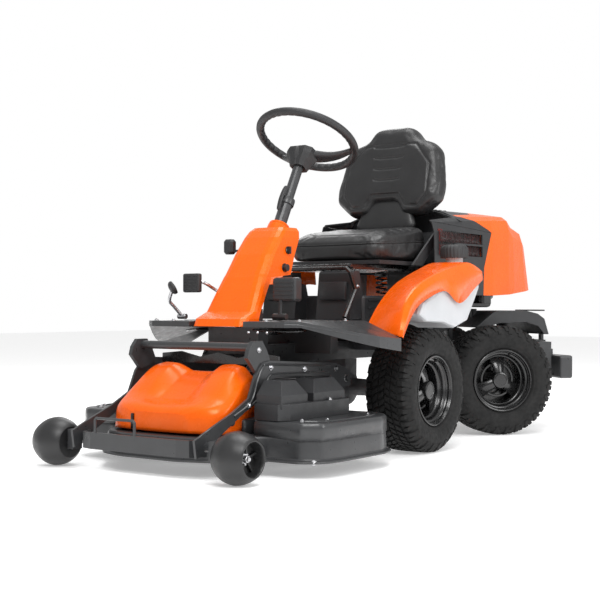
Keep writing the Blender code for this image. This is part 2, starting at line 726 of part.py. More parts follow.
# The seams of the hood's pieces on its side, as (y, z).
REAR_SEAM = [(0.540, 0.900), (0.540, 0.815), (0.620, 0.800), (0.733, 0.762), (0.672, 0.625), (0.655, 0.400)]


def hood_skin():
    skin = loft([hood_ring(level) for level in HOOD_LEVELS])
    inner = [hood_ring(level, 0.006, 0.05) for level in HOOD_LEVELS]
    inner[0] = [(x, y - 0.05, z) for x, y, z in inner[0]]
    inner[-1] = [(x * 0.98, y - 0.007, z) for x, y, z in inner[-1]]
    skin = cut(skin, loft(inner))
    return cut(skin, box((-0.226, 0.2, 0.4), (0.226, 0.492, 0.95)))


TOP_INSERT = [(-0.200, 0.300), (0.200, 0.300), (0.200, 0.680), (0.120, 0.800), (-0.120, 0.800), (-0.200, 0.680)]


def hood_shell():
    region = plate(REAR_SEAM + [(1.300, 0.400), (1.300, 0.900)], -0.4, 0.4, "X")
    return cut(common(hood_skin(), region), plate(TOP_INSERT, 0.760, 0.95, "Z"))


def hood_top():
    step = SEAM_STEP
    side = [(y - step, z - step) for y, z in REAR_SEAM[1:4]]
    region = [(0.2, 0.95), (0.540 - step, 0.95)] + side + [(0.2, 0.790)]
    region = plate(region, -0.4, 0.4, "X")
    insert = plate(inset(TOP_INSERT, step), 0.765, 0.96, "Z")
    return common(hood_skin(), union(region, insert))


def grille(side):
    step = SEAM_STEP
    region = [(0.2, 0.790 - 2 * step), (0.7315 - step, 0.7605), (0.672 - 2 * step, 0.625)]
    region += [(0.655 - 2 * step, 0.4), (0.2, 0.4)]
    low_x, high_x = sorted((side * 0.2, side * 0.4))
    panel = common(hood_skin(), plate(region, low_x, high_x, "X"))
    for low_z, high_z in ((0.665, 0.705), (0.712, 0.750)):
        panel = cut(panel, box((side * 0.3 - 0.1, 0.350, low_z), (side * 0.3 + 0.1, 0.660, high_z)))
    return panel


# ---------------------------------------------------------------- equipment frame
def frame_arm(side):
    upper = [(-0.978, 0.116), (-0.905, 0.146), (-0.815, 0.180), (-0.742, 0.216), (-0.712, 0.280), (-0.680, 0.314)]
    upper += [(-0.640, 0.320), (-0.300, 0.300), (-0.215, 0.275)]
    lower = [(-0.215, 0.225), (-0.280, 0.222), (-0.330, 0.262), (-0.600, 0.270), (-0.655, 0.262), (-0.690, 0.205)]
    lower += [(-0.760, 0.178), (-0.900, 0.104), (-0.970, 0.066)]
    low_x, high_x = sorted((side * (ARM_X - ARM_THICKNESS / 2), side * (ARM_X + ARM_THICKNESS / 2)))
    arm = plate(list(reversed(upper + lower)), low_x, high_x, "X")
    ear = [(-0.742, 0.330), (-0.735, 0.355), (-0.715, 0.378), (-0.672, 0.378), (-0.650, 0.350), (-0.628, 0.305)]
    ear += [(-0.700, 0.285)]
    ear_low, ear_high = sorted((side * (EAR_X - 0.005), side * (EAR_X + 0.0085)))
    arm = union(arm, plate(list(reversed(ear)), ear_low, ear_high, "X"))
    across = Vector((side, 0, 0))
    arm = cut(arm, rod(LIFT_AXIS + across * 0.20, LIFT_AXIS + across * 0.27, 0.0105))
    hub = Vector((0, SUPPORT_HUB.y, SUPPORT_HUB.z))
    high_hub = hub + Vector((0, 0, 0.022))
    reach = SUPPORT_HUB.x - SUPPORT_WIDTH / 2 - 0.004
    stub = rod(high_hub + across * ARM_X, high_hub + across * reach, 0.014, 12)
    axle = rod(hub + across * (ARM_X + 0.030), hub + across * (SUPPORT_HUB.x + 0.030), 0.0100, 16)
    inner = (ARM_X + 0.026, hub.y - 0.018, hub.z - 0.018)
    outer = (ARM_X + 0.050, hub.y + 0.018, hub.z + 0.041)
    return union(arm, stub, box(*sided_box(side, inner, outer)), axle)


def sided_box(side, low, high):
    """Corners of a box given on the left side, moved to the stated side."""
    xs = sorted((side * low[0], side * high[0]))
    return (xs[0], low[1], low[2]), (xs[1], high[1], high[2])


def lift_cross_tube():
    half = EAR_X - 0.005 - GAP
    return rod((-half, TUBE_Y, TUBE_Z), (half, TUBE_Y, TUBE_Z), 0.0125, 20)


def lower_bar():
    low, count = 0.303, 6
    half = ARM_X - ARM_THICKNESS / 2 - GAP
    outline = [(-half, low), (half, low), (half, 0.331)]
    for i in range(1, count):
        outline.append((half - 2 * half * i / count, 0.338 if i % 2 else 0.322))
    outline.append((-half, 0.331))
    return plate(outline, -0.592, -0.583, "Y")


def bumper_bar():
    outer = [(-0.228, -0.915), (-0.205, -0.962), (-0.165, -0.972), (0.165, -0.972), (0.205, -0.962), (0.228, -0.915)]
    inner = [(0.221, -0.915), (0.200, -0.956), (0.164, -0.965), (-0.164, -0.965), (-0.200, -0.956), (-0.221, -0.915)]
    strip = plate(outer + inner, 0.066, 0.114, "Z")
    guard = [(-0.148, -0.9685, 0.100), (-0.148, -0.9685, 0.150), (-0.143, -0.9685, 0.156), (0.003, -0.9685, 0.156)]
    guard += [(0.008, -0.9685, 0.150), (0.008, -0.9685, 0.100)]
    return union(strip, tube(guard, 0.0045, 1))


def support_wheel(side):
    half = SUPPORT_WIDTH / 2
    outer = [(0.0480, half), (0.0560, half - 0.006), (0.0660, half - 0.024), (0.0715, half - 0.040)]
    outer += [(SUPPORT_RADIUS, 0.0), (0.0715, 0.040 - half), (0.0640, 0.022 - half), (0.0540, 0.006 - half)]
    outer += [(0.0460, -half)]
    inner = [(0.0106, -half + 0.004), (0.0106, half - 0.034), (0.0440, half - 0.034), (0.0460, half - 0.004)]
    profile = outer + inner
    hub = Vector((side * SUPPORT_HUB.x, SUPPORT_HUB.y, SUPPORT_HUB.z))
    return turned(profile, hub, (side, 0, 0), 24, ring=True)


# ---------------------------------------------------------------- deck
DECK_SIDE = [(0.420, -0.742), (0.468, -0.702), (0.478, -0.630), (0.478, -0.405), (0.452, -0.336), (0.392, -0.300)]
# The low front apron, and the main body with a notch under each frame arm.
APRON_OUTLINE = both_sides([(0.110, -0.902), (0.200, -0.872), (0.262, -0.790), (0.300, -0.748)] + DECK_SIDE)
DECK_OUTLINE = both_sides([(0.222, -0.742), (0.228, -0.698), (0.243, -0.698), (0.250, -0.742)] + DECK_SIDE)
DECK_INSIDE = both_sides([(0.215, -0.742), (0.221, -0.691), (0.250, -0.691), (0.257, -0.742)] + DECK_SIDE)
APRON_TOP = 0.112


def deck_shell():
    body = rounded(plate(DECK_OUTLINE, DECK_BOTTOM, DECK_TOP, "Z"), 0.009, 2, 25)
    body = union(body, plate(inset(APRON_OUTLINE, 0.0005), DECK_BOTTOM - 0.001, APRON_TOP, "Z"))
    body = union(body, plate(inset(APRON_OUTLINE, -0.013), DECK_BOTTOM - 0.003, DECK_BOTTOM + 0.003, "Z"))
    body = cut(body, plate(inset(APRON_OUTLINE, DECK_WALL), DECK_BOTTOM - 0.02, APRON_TOP - 0.005, "Z"))
    body = cut(body, plate(inset(DECK_INSIDE, DECK_WALL), APRON_TOP - 0.010, DECK_TOP - 0.005, "Z"))
    for centre, _ in SPINDLES.values():
        body = cut(body, rod(centre + Vector((0, 0, 0.1)), centre + Vector((0, 0, 0.2)), SPINDLE_RADIUS + 0.0006, 20))
    return body


COVER_FRONT_LOW = APRON_TOP + 0.006
COVER_BACK_LOW = DECK_TOP + GAP
COVER_LEVELS = [
    # y, half width, underside z, side top z, hump top z, valley top z
    (-0.868, 0.120, COVER_FRONT_LOW + 0.004, 0.172, 0.182, 0.182),
    (-0.852, 0.180, COVER_FRONT_LOW, 0.186, 0.198, 0.198),
    (-0.815, 0.214, COVER_FRONT_LOW, 0.196, 0.212, 0.207),
    (-0.780, 0.218, COVER_FRONT_LOW, 0.216, 0.240, 0.224),
    (-0.7446, 0.213, COVER_FRONT_LOW, 0.243, 0.276, 0.252),
    (-0.7440, 0.213, COVER_BACK_LOW, 0.243, 0.2765, 0.2525),
    (-0.705, 0.205, COVER_BACK_LOW, 0.270, 0.306, 0.280),
    (-0.665, 0.200, COVER_BACK_LOW, 0.286, 0.316, 0.292),
    (-0.635, 0.197, COVER_BACK_LOW, 0.255, 0.282, 0.276),
    (-0.560, 0.194, COVER_BACK_LOW, 0.235, 0.266, 0.262),
    (-0.500, 0.180, COVER_BACK_LOW, 0.195, 0.232, 0.228),
]


def cover_ring(level, wall=0.0, sink=0.0):
    y, half, low, side, hump, valley = level
    half, base = half - wall, low - sink
    points = [(half, base), (half - 0.004, (side - wall + low) / 2 + 0.01), (half - 0.018, side - wall)]
    points += [(half * 0.78, hump - wall), (half * 0.42, hump - wall), (half * 0.20, valley - wall)]
    ring = points + [(-x, z) for x, z in reversed(points)]
    return [(x, y, z) for x, z in ring]


def deck_cover():
    wall = 0.004
    shell = loft([cover_ring(level) for level in COVER_LEVELS])
    inner = [cover_ring(level, wall, 0.03) for level in COVER_LEVELS]
    inner[0] = [(x, y + wall, z) for x, y, z in inner[0]]
    inner[-1] = [(x, y + 0.02, z) for x, y, z in inner[-1]]
    return cut(shell, loft(inner))


def belt_cover(side):
    """The left cover is longer and has a second hump in front."""
    wall, low, top = 0.004, DECK_TOP + GAP, 0.202
    if side > 0:
        front = [(0.222, -0.640), (0.252, -0.655), (0.252, -0.735), (0.336, -0.735), (0.362, -0.710)]
        spans = ((-0.730, -0.602), (-0.572, -0.408))
    else:
        front = [(0.222, -0.620), (0.340, -0.620), (0.362, -0.600)]
        spans = ((-0.572, -0.408),)
    outline = front + [(0.362, -0.410), (0.336, -0.372), (0.222, -0.372)]
    shape = plate(outline, low, top, "Z")
    humps = []
    for y_low, y_high in spans:
        base = [(0.256, y_low), (0.345, y_low), (0.345, y_high), (0.256, y_high)]
        crown = [(0.262, y_low + 0.028), (0.326, y_low + 0.028), (0.326, y_high - 0.034), (0.262, y_high - 0.034)]
        rings = [[(x, y, z) for x, y in ring] for ring, z in ((base, 0.190), (base, 0.226), (crown, 0.266))]
        humps.append(loft(rings))
    shape = union(shape, *humps)
    shape = cut(shape, plate(inset(outline, wall), low - 0.01, top - wall, "Z"))
    return shape if side > 0 else mirror_and_remove(shape)


def mirror_and_remove(shape):
    copy = mirrored(shape)
    bpy.data.objects.remove(shape)
    return copy


def blade(key):
    centre, radius = SPINDLES[key]
    angle = {"centre": 20, "left": 75, "right": 130}[key]
    outline = [(-radius, -0.022), (radius * 0.94, -0.028), (radius, 0.022), (-radius * 0.94, 0.028)]
    bar = plate(outline, 0.056, 0.061, "Z")
    bar.data.transform(Matrix.Translation(centre) @ Matrix.Rotation(radians(angle), 4, "Z"))
    pulley = [(0, 0.1901), (0.046, 0.190), (0.050, 0.186), (0.038, 0.179), (0.050, 0.172), (0.046, 0.168), (0, 0.168)]
    pulley = turned(pulley, centre, (0, 0, 1), 20)
    shaft = [(0, 0.180), (SPINDLE_RADIUS, 0.180), (SPINDLE_RADIUS, 0.068), (0.030, 0.064)]
    shaft += [(0.030, 0.052), (0.014, 0.046), (0, 0.046)]
    return union(turned(shaft, centre, (0, 0, 1), 20), bar, pulley)


# ---------------------------------------------------------------- rear section, laid out straight
def rear_frame():
    y = PIVOT_Y
    lower = rod((0, y, 0.226), (0, y, 0.250 - GAP), 0.034, 20)
    upper = rod((0, y, 0.380 + GAP), (0, y, 0.400), 0.034, 20)
    arms = [box((-0.034, y, 0.226), (0.034, y + 0.062, 0.2490)), box((-0.034, y, 0.381), (0.034, y + 0.062, 0.3995))]
    web = box((-0.040, y + 0.045, 0.2255), (0.040, y + 0.060, 0.4))
    spine = box((-0.050, y + 0.050, 0.300), (0.050, y + 0.425, 0.340))
    tail = box((-0.170, y + 0.355, 0.235), (0.170, y + 0.425 - GAP, 0.339))
    frame = union(web, lower, upper, *arms, spine, tail)
    return cut(frame, rod((0, y, 0.20), (0, y, 0.43), 0.0152, 24))


def pivot_pin():
    y = PIVOT_Y
    profile = [(0, 0.412), (0.024, 0.412), (0.024, 0.4005), (0.0149, 0.4005), (0.0149, 0.214), (0, 0.214)]
    return turned(profile, (0, y, 0), (0, 0, 1), 24)


def rear_guard():
    outer = [(0.095, 0.400), (0.160, 0.452), (0.180, 0.460), (0.300, 0.462), (0.350, 0.450), (0.378, 0.430)]
    outer.append((0.396, 0.370))
    inner = [(0.390, 0.369), (0.372, 0.426), (0.347, 0.444), (0.299, 0.456), (0.182, 0.454), (0.163, 0.447)]
    inner.append((0.099, 0.396))
    outline = [(PIVOT_Y + y, z) for y, z in outer + inner]
    guard = plate(outline, -0.205, 0.205, "X")
    struts = []
    for side in (-1, 1):
        low, high = sided_box(side, (0.135, PIVOT_Y + 0.386, 0.343), (0.160, PIVOT_Y + 0.396, 0.372))
        struts.append(box(low, high))
    skirt = [(0.100, 0.398), (0.161, 0.450), (0.181, 0.457), (0.299, 0.459), (0.348, 0.447), (0.375, 0.428)]
    skirt += [(0.393, 0.371), (0.378, 0.371), (0.352, 0.402), (0.300, 0.418), (0.190, 0.414), (0.135, 0.396)]
    for side in (-1, 1):
        struts.append(plate([(PIVOT_Y + y, z) for y, z in skirt], *sorted((side * 0.2010, side * 0.2045)), "X"))
    foot = box((-0.165, PIVOT_Y + 0.360, 0.340 + GAP), (0.165, PIVOT_Y + 0.402, 0.347))
    middle = box((-0.03, PIVOT_Y + 0.384, 0.344), (0.03, PIVOT_Y + 0.394, 0.374))
    breather = rod((0.040, PIVOT_Y + 0.150, 0.420), (0.040, PIVOT_Y + 0.150, 0.469), 0.012, 12)
    return union(guard, *struts, foot, middle, breather)


def rear_bumper():
    y = PIVOT_Y + 0.425
    bracket = [box((x - 0.018, y, 0.245), (x + 0.018, y + 0.022, 0.310)) for x in (-0.12, 0.12)]
    bar = rounded(box((-0.215, y + 0.015, 0.196), (0.215, y + 0.070, 0.286)), 0.008, 2)
    hollow = box((-0.203, y + 0.024, 0.18), (0.203, y + 0.061, 0.277))
    bar = cut(bar, hollow)
    return union(bar, *bracket)


# ---------------------------------------------------------------- wheels
def tyre_shape():
    half = TYRE_WIDTH / 2
    outer = [(BEAD_RADIUS, 0.0650), (RIM_RADIUS + 0.0006, 0.0662), (0.1230, 0.0760), (0.1500, half)]
    outer += [(0.1800, half - 0.003), (0.1960, half - 0.014), (TYRE_RADIUS, 0.052)]
    inner = [(0.1880, 0.050), (0.1480, 0.072), (BEAD_RADIUS, 0.052)]
    profile = outer + [(r, -s) for r, s in reversed(outer)]
    profile += [(r, -s) for r, s in reversed(inner)] + inner
    return turned(profile, (0, 0, 0), (1, 0, 0), 28, ring=True)


def rim_shape():
    seat = BEAD_RADIUS - 0.0004
    edge = [(0.1120, 0.0745), (RIM_RADIUS, 0.0715), (RIM_RADIUS, 0.0668), (seat, 0.0656), (seat, 0.0480)]
    edge.append((0.090, 0.036))
    back = [(0.086, 0.036), (0.1030, 0.0745)]
    profile = edge + [(r, -s) for r, s in reversed(edge)] + [(r, -s) for r, s in reversed(back)] + back
    ring = turned(profile, (0, 0, 0), (1, 0, 0), 28, ring=True)
    hub = [(0, 0.055), (0.026, 0.055), (0.030, 0.050), (0.032, 0.020), (0.032, -0.040), (0.0131, -0.040)]
    hub += [(0.0131, 0.010), (0, 0.010)]
    hub = turned(hub, (0, 0, 0), (1, 0, 0), 16)
    spokes = []
    for angle in (90, 210, 330):
        foot = [(0.026, -0.017, 0.020), (0.045, -0.017, 0.020), (0.045, 0.017, 0.020), (0.026, 0.017, 0.020)]
        end = [(0.014, -0.026, 0.0885), (0.026, -0.026, 0.0885), (0.026, 0.026, 0.0885), (0.014, 0.026, 0.0885)]
        spoke = loft([foot, end])
        spoke.data.transform(Matrix.Rotation(radians(angle - 90), 4, "X"))
        spokes.append(spoke)
    disc = [(0.030, -0.034), (0.0875, -0.034), (0.0875, -0.028), (0.030, -0.028)]
    disc = turned(disc, (0, 0, 0), (1, 0, 0), 28, ring=True)
    return union(ring, disc, *spokes, hub)


def add_wheels():
    tyre, rim = tyre_shape(), rim_shape()
    places = {
        "front_left": (Vector((FRONT_HUB_X, 0, AXLE_Z)), "chassis"),
        "front_right": (Vector((-FRONT_HUB_X, 0, AXLE_Z)), "chassis"),
        "rear_left": (Vector((REAR_HUB_X, WHEELBASE, AXLE_Z)), "rear_section"),
        "rear_right": (Vector((-REAR_HUB_X, WHEELBASE, AXLE_Z)), "rear_section"),
    }
    for name, (hub, parent) in places.items():
        body = "wheel_" + name
        add_body(body, hub, parent)
        outward = 0 if hub.x > 0 else pi
        for shape, label, material in ((tyre, "tyre_", "tyre"), (rim, "rim_", "black_paint")):
            copy = shape_of(shape.data.copy())
            copy.data.transform(Matrix.Translation(hub) @ Matrix.Rotation(outward, 4, "Z"))
            add_part(label + name, copy, material, body)
    bpy.data.objects.remove(tyre)
    bpy.data.objects.remove(rim)


# ---------------------------------------------------------------- assembly
def add_chassis():
    add_body("chassis", (0, 0, 0))
    add_part("main_frame", main_frame(), "dark_paint", "chassis")
    add_part("front_transaxle", transaxle(0, FRONT_HUB_X, RAIL_BOTTOM - GAP), "casting", "chassis")
    add_part("footplate", footplate(), "dark_paint", "chassis")
    add_part("console_cover", console_cover(), "orange", "chassis")
    add_part("column_tube", column_tube(), "dark_paint", "chassis")
    add_part("seat_support", seat_support(), "dark_plastic", "chassis")
    add_part("seat_stay", seat_stay(), "black_paint", "chassis")
    add_part("seat_spring", seat_spring(), "black_paint", "chassis")
    left = fender(FENDER_STATIONS, 0.012)
    hole = rod((TANK_NECK.x, TANK_NECK.y, 0.55), (TANK_NECK.x, TANK_NECK.y, 0.70), 0.033, 20)
    add_part("fender_left", cut(left, hole), "orange", "chassis")
    right = mirror_and_remove(fender([RIGHT_FENDER_FRONT] + FENDER_STATIONS[4:], 0.070))
    add_part("fender_right", right, "orange", "chassis")
    add_part("fuel_tank", fuel_tank(), "tank", "chassis")
    add_part("engine_block", engine_block(), "casting", "chassis")
    add_part("muffler", muffler(), "black_paint", "chassis")
    add_body("fuel_cap", TANK_NECK, "chassis")
    add_part("fuel_cap", fuel_cap(), "dark_plastic", "fuel_cap")


def add_steering():
    add_body("column", column_point(0.235), "chassis")
    add_part("column_upper_tube", column_upper_tube(), "dark_paint", "column")
    add_body("steering_wheel", WHEEL_CENTRE, "column")
    add_part("steering_wheel", steering_wheel(), "dark_plastic", "steering_wheel")
    outward = Vector((0, -COLUMN_DIRECTION.z, COLUMN_DIRECTION.y))
    add_body("column_lever", column_point(0.200) + outward * 0.030, "chassis")
    add_part("column_lever", column_lever(), "dark_plastic", "column_lever")


def add_controls():
    add_body("throttle_lever", THROTTLE_HINGE, "chassis")
    add_part("throttle_lever", throttle_lever(), "dark_plastic", "throttle_lever")
    add_body("ignition_key", KEY_PLACE, "chassis")
    add_part("ignition_key", knob(KEY_PLACE, True), "dark_plastic", "ignition_key")
    add_body("blade_knob", KNOB_PLACE, "chassis")
    add_part("blade_knob", knob(KNOB_PLACE, False), "dark_plastic", "blade_knob")
    for name, place, shape, material in (
        ("forward_pedal", FORWARD_HINGE, forward_pedal, "steel"),
        ("reverse_pedal", REVERSE_HINGE, reverse_pedal, "steel"),
        ("brake_pedal", BRAKE_HINGE, brake_pedal, "dark_plastic"),
        ("lift_lever", LEVER_HINGE, lift_lever, "black_paint"),
    ):
        add_body(name, place, "chassis")
        add_part(name, shape(), material, name)


def add_seat():
    add_body("seat_carrier", SEAT_HINGE, "chassis")
    add_part("seat_carrier", seat_carrier(), "black_paint", "seat_carrier")
    add_body("seat", (0, 0.12, CARRIER_TOP), "seat_carrier")
    add_part("seat_pan", seat_pan(), "dark_plastic", "seat")
    add_part("seat_cushion", seat_cushion(), "vinyl", "seat")
    add_part("seat_backrest", seat_backrest(), "vinyl", "seat")


def add_hood():
    add_body("hood", HOOD_HINGE, "chassis")
    add_part("hood_shell", hood_shell(), "orange", "hood")
    add_part("hood_top", hood_top(), "dark_plastic", "hood")
    add_part("grille_left", grille(1), "dark_plastic", "hood")
    add_part("grille_right", grille(-1), "dark_plastic", "hood")


def add_equipment():
    add_body("equipment_frame", LIFT_AXIS, "chassis")
    for side, name in ((1, "left"), (-1, "right")):
        add_part("frame_arm_" + name, frame_arm(side), "dark_paint", "equipment_frame")
    add_part("lift_cross_tube", lift_cross_tube(), "dark_paint", "equipment_frame")
    add_part("lower_bar", lower_bar(), "black_paint", "equipment_frame")
    add_part("bumper_bar", bumper_bar(), "dark_paint", "equipment_frame")
    for side, name in ((1, "left"), (-1, "right")):
        hub = Vector((side * SUPPORT_HUB.x, SUPPORT_HUB.y, SUPPORT_HUB.z))
        add_body("support_wheel_" + name, hub, "equipment_frame")
        add_part("support_wheel_" + name, support_wheel(side), "dark_plastic", "support_wheel_" + name)


def add_deck():
    add_body("deck", (0, -0.6, DECK_TOP), "equipment_frame")
    add_part("deck_shell", deck_shell(), "dark_paint", "deck")
    add_part("deck_cover", deck_cover(), "orange", "deck")
    for side, name in ((1, "left"), (-1, "right")):
        add_part("belt_cover_" + name, belt_cover(side), "dark_plastic", "deck")
    for key, (centre, _) in SPINDLES.items():
        add_body("blade_" + key, centre, "deck")
        add_part("blade_" + key, blade(key), "steel", "blade_" + key)


def add_rear_section():
    add_body("rear_section", (0, PIVOT_Y, 0), "chassis", REST_STEER)
    add_part("rear_frame", rear_frame(), "dark_paint", "rear_section")
    add_part("rear_transaxle", transaxle(WHEELBASE, REAR_HUB_X, 0.300 - GAP), "casting", "rear_section")
    add_part("pivot_pin", pivot_pin(), "steel", "rear_section")
    add_part("rear_guard", rear_guard(), "dark_plastic", "rear_section")
    add_part("rear_bumper", rear_bumper(), "dark_paint", "rear_section")


add_chassis()
add_steering()
add_controls()
add_seat()
add_hood()
add_equipment()
add_deck()
add_rear_section()
add_wheels()
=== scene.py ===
from math import cos, pi, radians, sin

import bmesh
import bpy
import numpy as np
from mathutils import Matrix, Vector
from mathutils.bvhtree import BVHTree


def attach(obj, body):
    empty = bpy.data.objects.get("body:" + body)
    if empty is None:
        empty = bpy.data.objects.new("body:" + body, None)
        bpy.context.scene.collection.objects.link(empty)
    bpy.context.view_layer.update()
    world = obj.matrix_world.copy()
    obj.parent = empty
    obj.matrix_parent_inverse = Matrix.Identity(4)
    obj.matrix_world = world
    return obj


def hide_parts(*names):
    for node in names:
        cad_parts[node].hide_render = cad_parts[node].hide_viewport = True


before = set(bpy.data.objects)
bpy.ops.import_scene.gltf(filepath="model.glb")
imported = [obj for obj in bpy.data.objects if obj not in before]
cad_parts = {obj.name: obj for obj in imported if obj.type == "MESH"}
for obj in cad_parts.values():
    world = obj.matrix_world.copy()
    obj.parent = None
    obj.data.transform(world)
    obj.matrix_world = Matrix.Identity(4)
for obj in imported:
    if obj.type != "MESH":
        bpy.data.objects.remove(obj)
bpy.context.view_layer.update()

# ---------------------------------------------------------------- places, in metres
# Shapes are written in machine coordinates: front axle at y = 0, rear section straight.
ORIGIN = Vector((0.00439, 0.13764, 0))
PIVOT = Vector((0, 0.7637, 0))
REST_STEER = radians(-40.15)
CHASSIS = Matrix.Translation(-ORIGIN)
REAR_TURN = Matrix.Rotation(REST_STEER, 4, "Z")
REAR = CHASSIS @ Matrix.Translation(PIVOT) @ REAR_TURN @ Matrix.Translation(-PIVOT)
WHEELBASE = 0.887
AXLE_Z = 0.2035
SUPPORT_RADIUS = 0.0731
COLUMN_TILT = radians(28)
COLUMN = Vector((0, sin(COLUMN_TILT), cos(COLUMN_TILT)))
WHEEL_CENTRE = Vector((0, -0.1187, 1.043))
BACK_TILT = radians(13)
BACK_FOOT = Vector((0, 0.352, 0.790))
BACK_DEPTH = 0.090
BACK = CHASSIS @ Matrix.Translation(BACK_FOOT) @ Matrix.Rotation(-BACK_TILT, 4, "X")
BACK @= Matrix.Translation((0, BACK_DEPTH, 0))
CUSHION_LOW = 0.638


# ---------------------------------------------------------------- materials
def socket(shader, name, value):
    shader.inputs[name].default_value = value


class Finish:
    """A principled material with colour, roughness and bump from noise in the object's own coordinates."""

    def __init__(self, name, colour, roughness, metallic=0.0, coat=0.0):
        self.material = bpy.data.materials.new(name)
        self.material.use_nodes = True
        self.tree = self.material.node_tree
        self.shader = self.tree.nodes["Principled BSDF"]
        socket(self.shader, "Base Color", (*colour, 1))
        socket(self.shader, "Roughness", roughness)
        socket(self.shader, "Metallic", metallic)
        socket(self.shader, "Coat Weight", coat)
        socket(self.shader, "Coat Roughness", 0.12)
        self.colour, self.roughness, self.height = colour, roughness, None
        self.place = self.node("ShaderNodeTexCoord").outputs["Object"]

    def node(self, kind, **values):
        made = self.tree.nodes.new(kind)
        for key, value in values.items():
            setattr(made, key, value)
        return made

    def link(self, source, target):
        self.tree.links.new(source, target)

    def noise(self, scale, detail=3.0, stretch=None):
        made = self.node("ShaderNodeTexNoise")
        made.inputs["Scale"].default_value = scale
        made.inputs["Detail"].default_value = detail
        self.link(self.stretched(stretch), made.inputs["Vector"])
        return made.outputs["Fac"]

    def cells(self, scale, feature="F1"):
        made = self.node("ShaderNodeTexVoronoi", feature=feature)
        made.inputs["Scale"].default_value = scale
        self.link(self.place, made.inputs["Vector"])
        return made.outputs["Distance"]

    def stretched(self, stretch):
        if stretch is None:
            return self.place
        mapping = self.node("ShaderNodeMapping")
        mapping.inputs["Scale"].default_value = stretch
        self.link(self.place, mapping.inputs["Vector"])
        return mapping.outputs["Vector"]

    def ranged(self, value, low, high, to_low, to_high):
        made = self.node("ShaderNodeMapRange")
        for key, number in zip(("From Min", "From Max", "To Min", "To Max"), (low, high, to_low, to_high)):
            made.inputs[key].default_value = number
        self.link(value, made.inputs["Value"])
        return made.outputs["Result"]

    def vary_colour(self, mask, other):
        mix = self.node("ShaderNodeMix", data_type="RGBA")
        self.link(mask, mix.inputs["Factor"])
        current = self.shader.inputs["Base Color"]
        if current.is_linked:
            self.link(current.links[0].from_socket, mix.inputs["A"])
        else:
            mix.inputs["A"].default_value = (*self.colour, 1)
        mix.inputs["B"].default_value = (*other, 1)
        self.link(mix.outputs["Result"], current)

    def vary_roughness(self, mask, low, high):
        self.link(self.ranged(mask, 0.3, 0.7, low, high), self.shader.inputs["Roughness"])

    def bump(self, height, distance, strength=1.0):
        made = self.node("ShaderNodeBump")
        made.inputs["Distance"].default_value = distance
        made.inputs["Strength"].default_value = strength
        self.link(height, made.inputs["Height"])
        if self.height:
            self.link(self.height, made.inputs["Normal"])
        self.height = made.outputs["Normal"]
        self.link(self.height, self.shader.inputs["Normal"])

    def worn_edges(self, colour, amount):
        """Rubbed lighter where the surface turns outwards, broken up by noise."""
        edge = self.ranged(self.node("ShaderNodeNewGeometry").outputs["Pointiness"], 0.53, 0.62, 0.0, amount)
        scatter = self.ranged(self.noise(60, 4), 0.4, 0.65, 0.0, 1.0)
        mask = self.node("ShaderNodeMath", operation="MULTIPLY")
        self.link(edge, mask.inputs[0])
        self.link(scatter, mask.inputs[1])
        self.vary_colour(mask.outputs[0], colour)


def scaled(colour, factor):
    return tuple(min(1.0, part * factor) for part in colour)


def orange_plastic():
    finish = Finish("orange_plastic", (0.90, 0.118, 0.002), 0.30, coat=0.05)
    socket(finish.shader, "Specular Tint", (1.0, 0.62, 0.34, 1))
    finish.vary_colour(finish.ranged(finish.noise(14), 0.3, 0.75, 0.0, 1.0), (0.86, 0.108, 0.002))
    finish.vary_roughness(finish.noise(35), 0.21, 0.33)
    finish.bump(finish.noise(900, 2), 0.00006, 0.35)
    finish.bump(finish.noise(9, 1), 0.0008, 0.08)
    return finish.material


def satin_plastic(name, colour, roughness, grain=0.00018):
    finish = Finish(name, colour, roughness)
    finish.vary_colour(finish.ranged(finish.noise(9), 0.3, 0.7, 0.0, 1.0), scaled(colour, 1.35))
    finish.vary_roughness(finish.noise(40), roughness - 0.06, roughness + 0.10)
    finish.bump(finish.cells(1500), grain, 0.45)
    return finish.material


def powder_coat(name, colour, roughness, wear=0.3, coat=0.10, grain=0.00018):
    finish = Finish(name, colour, roughness, coat=coat)
    finish.vary_colour(finish.ranged(finish.noise(14), 0.3, 0.75, 0.0, 0.8), scaled(colour, 0.78))
    finish.worn_edges(scaled(colour, 1.9), wear)
    finish.vary_roughness(finish.noise(55), roughness - 0.07, roughness + 0.08)
    finish.bump(finish.noise(650, 2), grain, 0.30)
    return finish.material


def seat_vinyl():
    colour = (0.0095, 0.0095, 0.010)
    finish = Finish("seat_vinyl", colour, 0.42, coat=0.06)
    finish.vary_colour(finish.ranged(finish.noise(12), 0.3, 0.7, 0.0, 1.0), scaled(colour, 1.5))
    finish.vary_roughness(finish.noise(70), 0.36, 0.50)
    finish.bump(finish.cells(520, "DISTANCE_TO_EDGE"), 0.0004, 0.45)
    finish.bump(finish.noise(24, 2), 0.0009, 0.25)
    return finish.material


def tyre_rubber():
    colour = (0.0075, 0.0075, 0.0076)
    finish = Finish("tyre_rubber", colour, 0.74)
    socket(finish.shader, "Specular IOR Level", 0.3)
    finish.vary_colour(finish.ranged(finish.noise(22, 5), 0.35, 0.75, 0.0, 0.9), (0.016, 0.0157, 0.0154))
    finish.vary_roughness(finish.noise(80), 0.64, 0.86)
    finish.bump(finish.noise(420, 4), 0.0005, 0.45)
    return finish.material


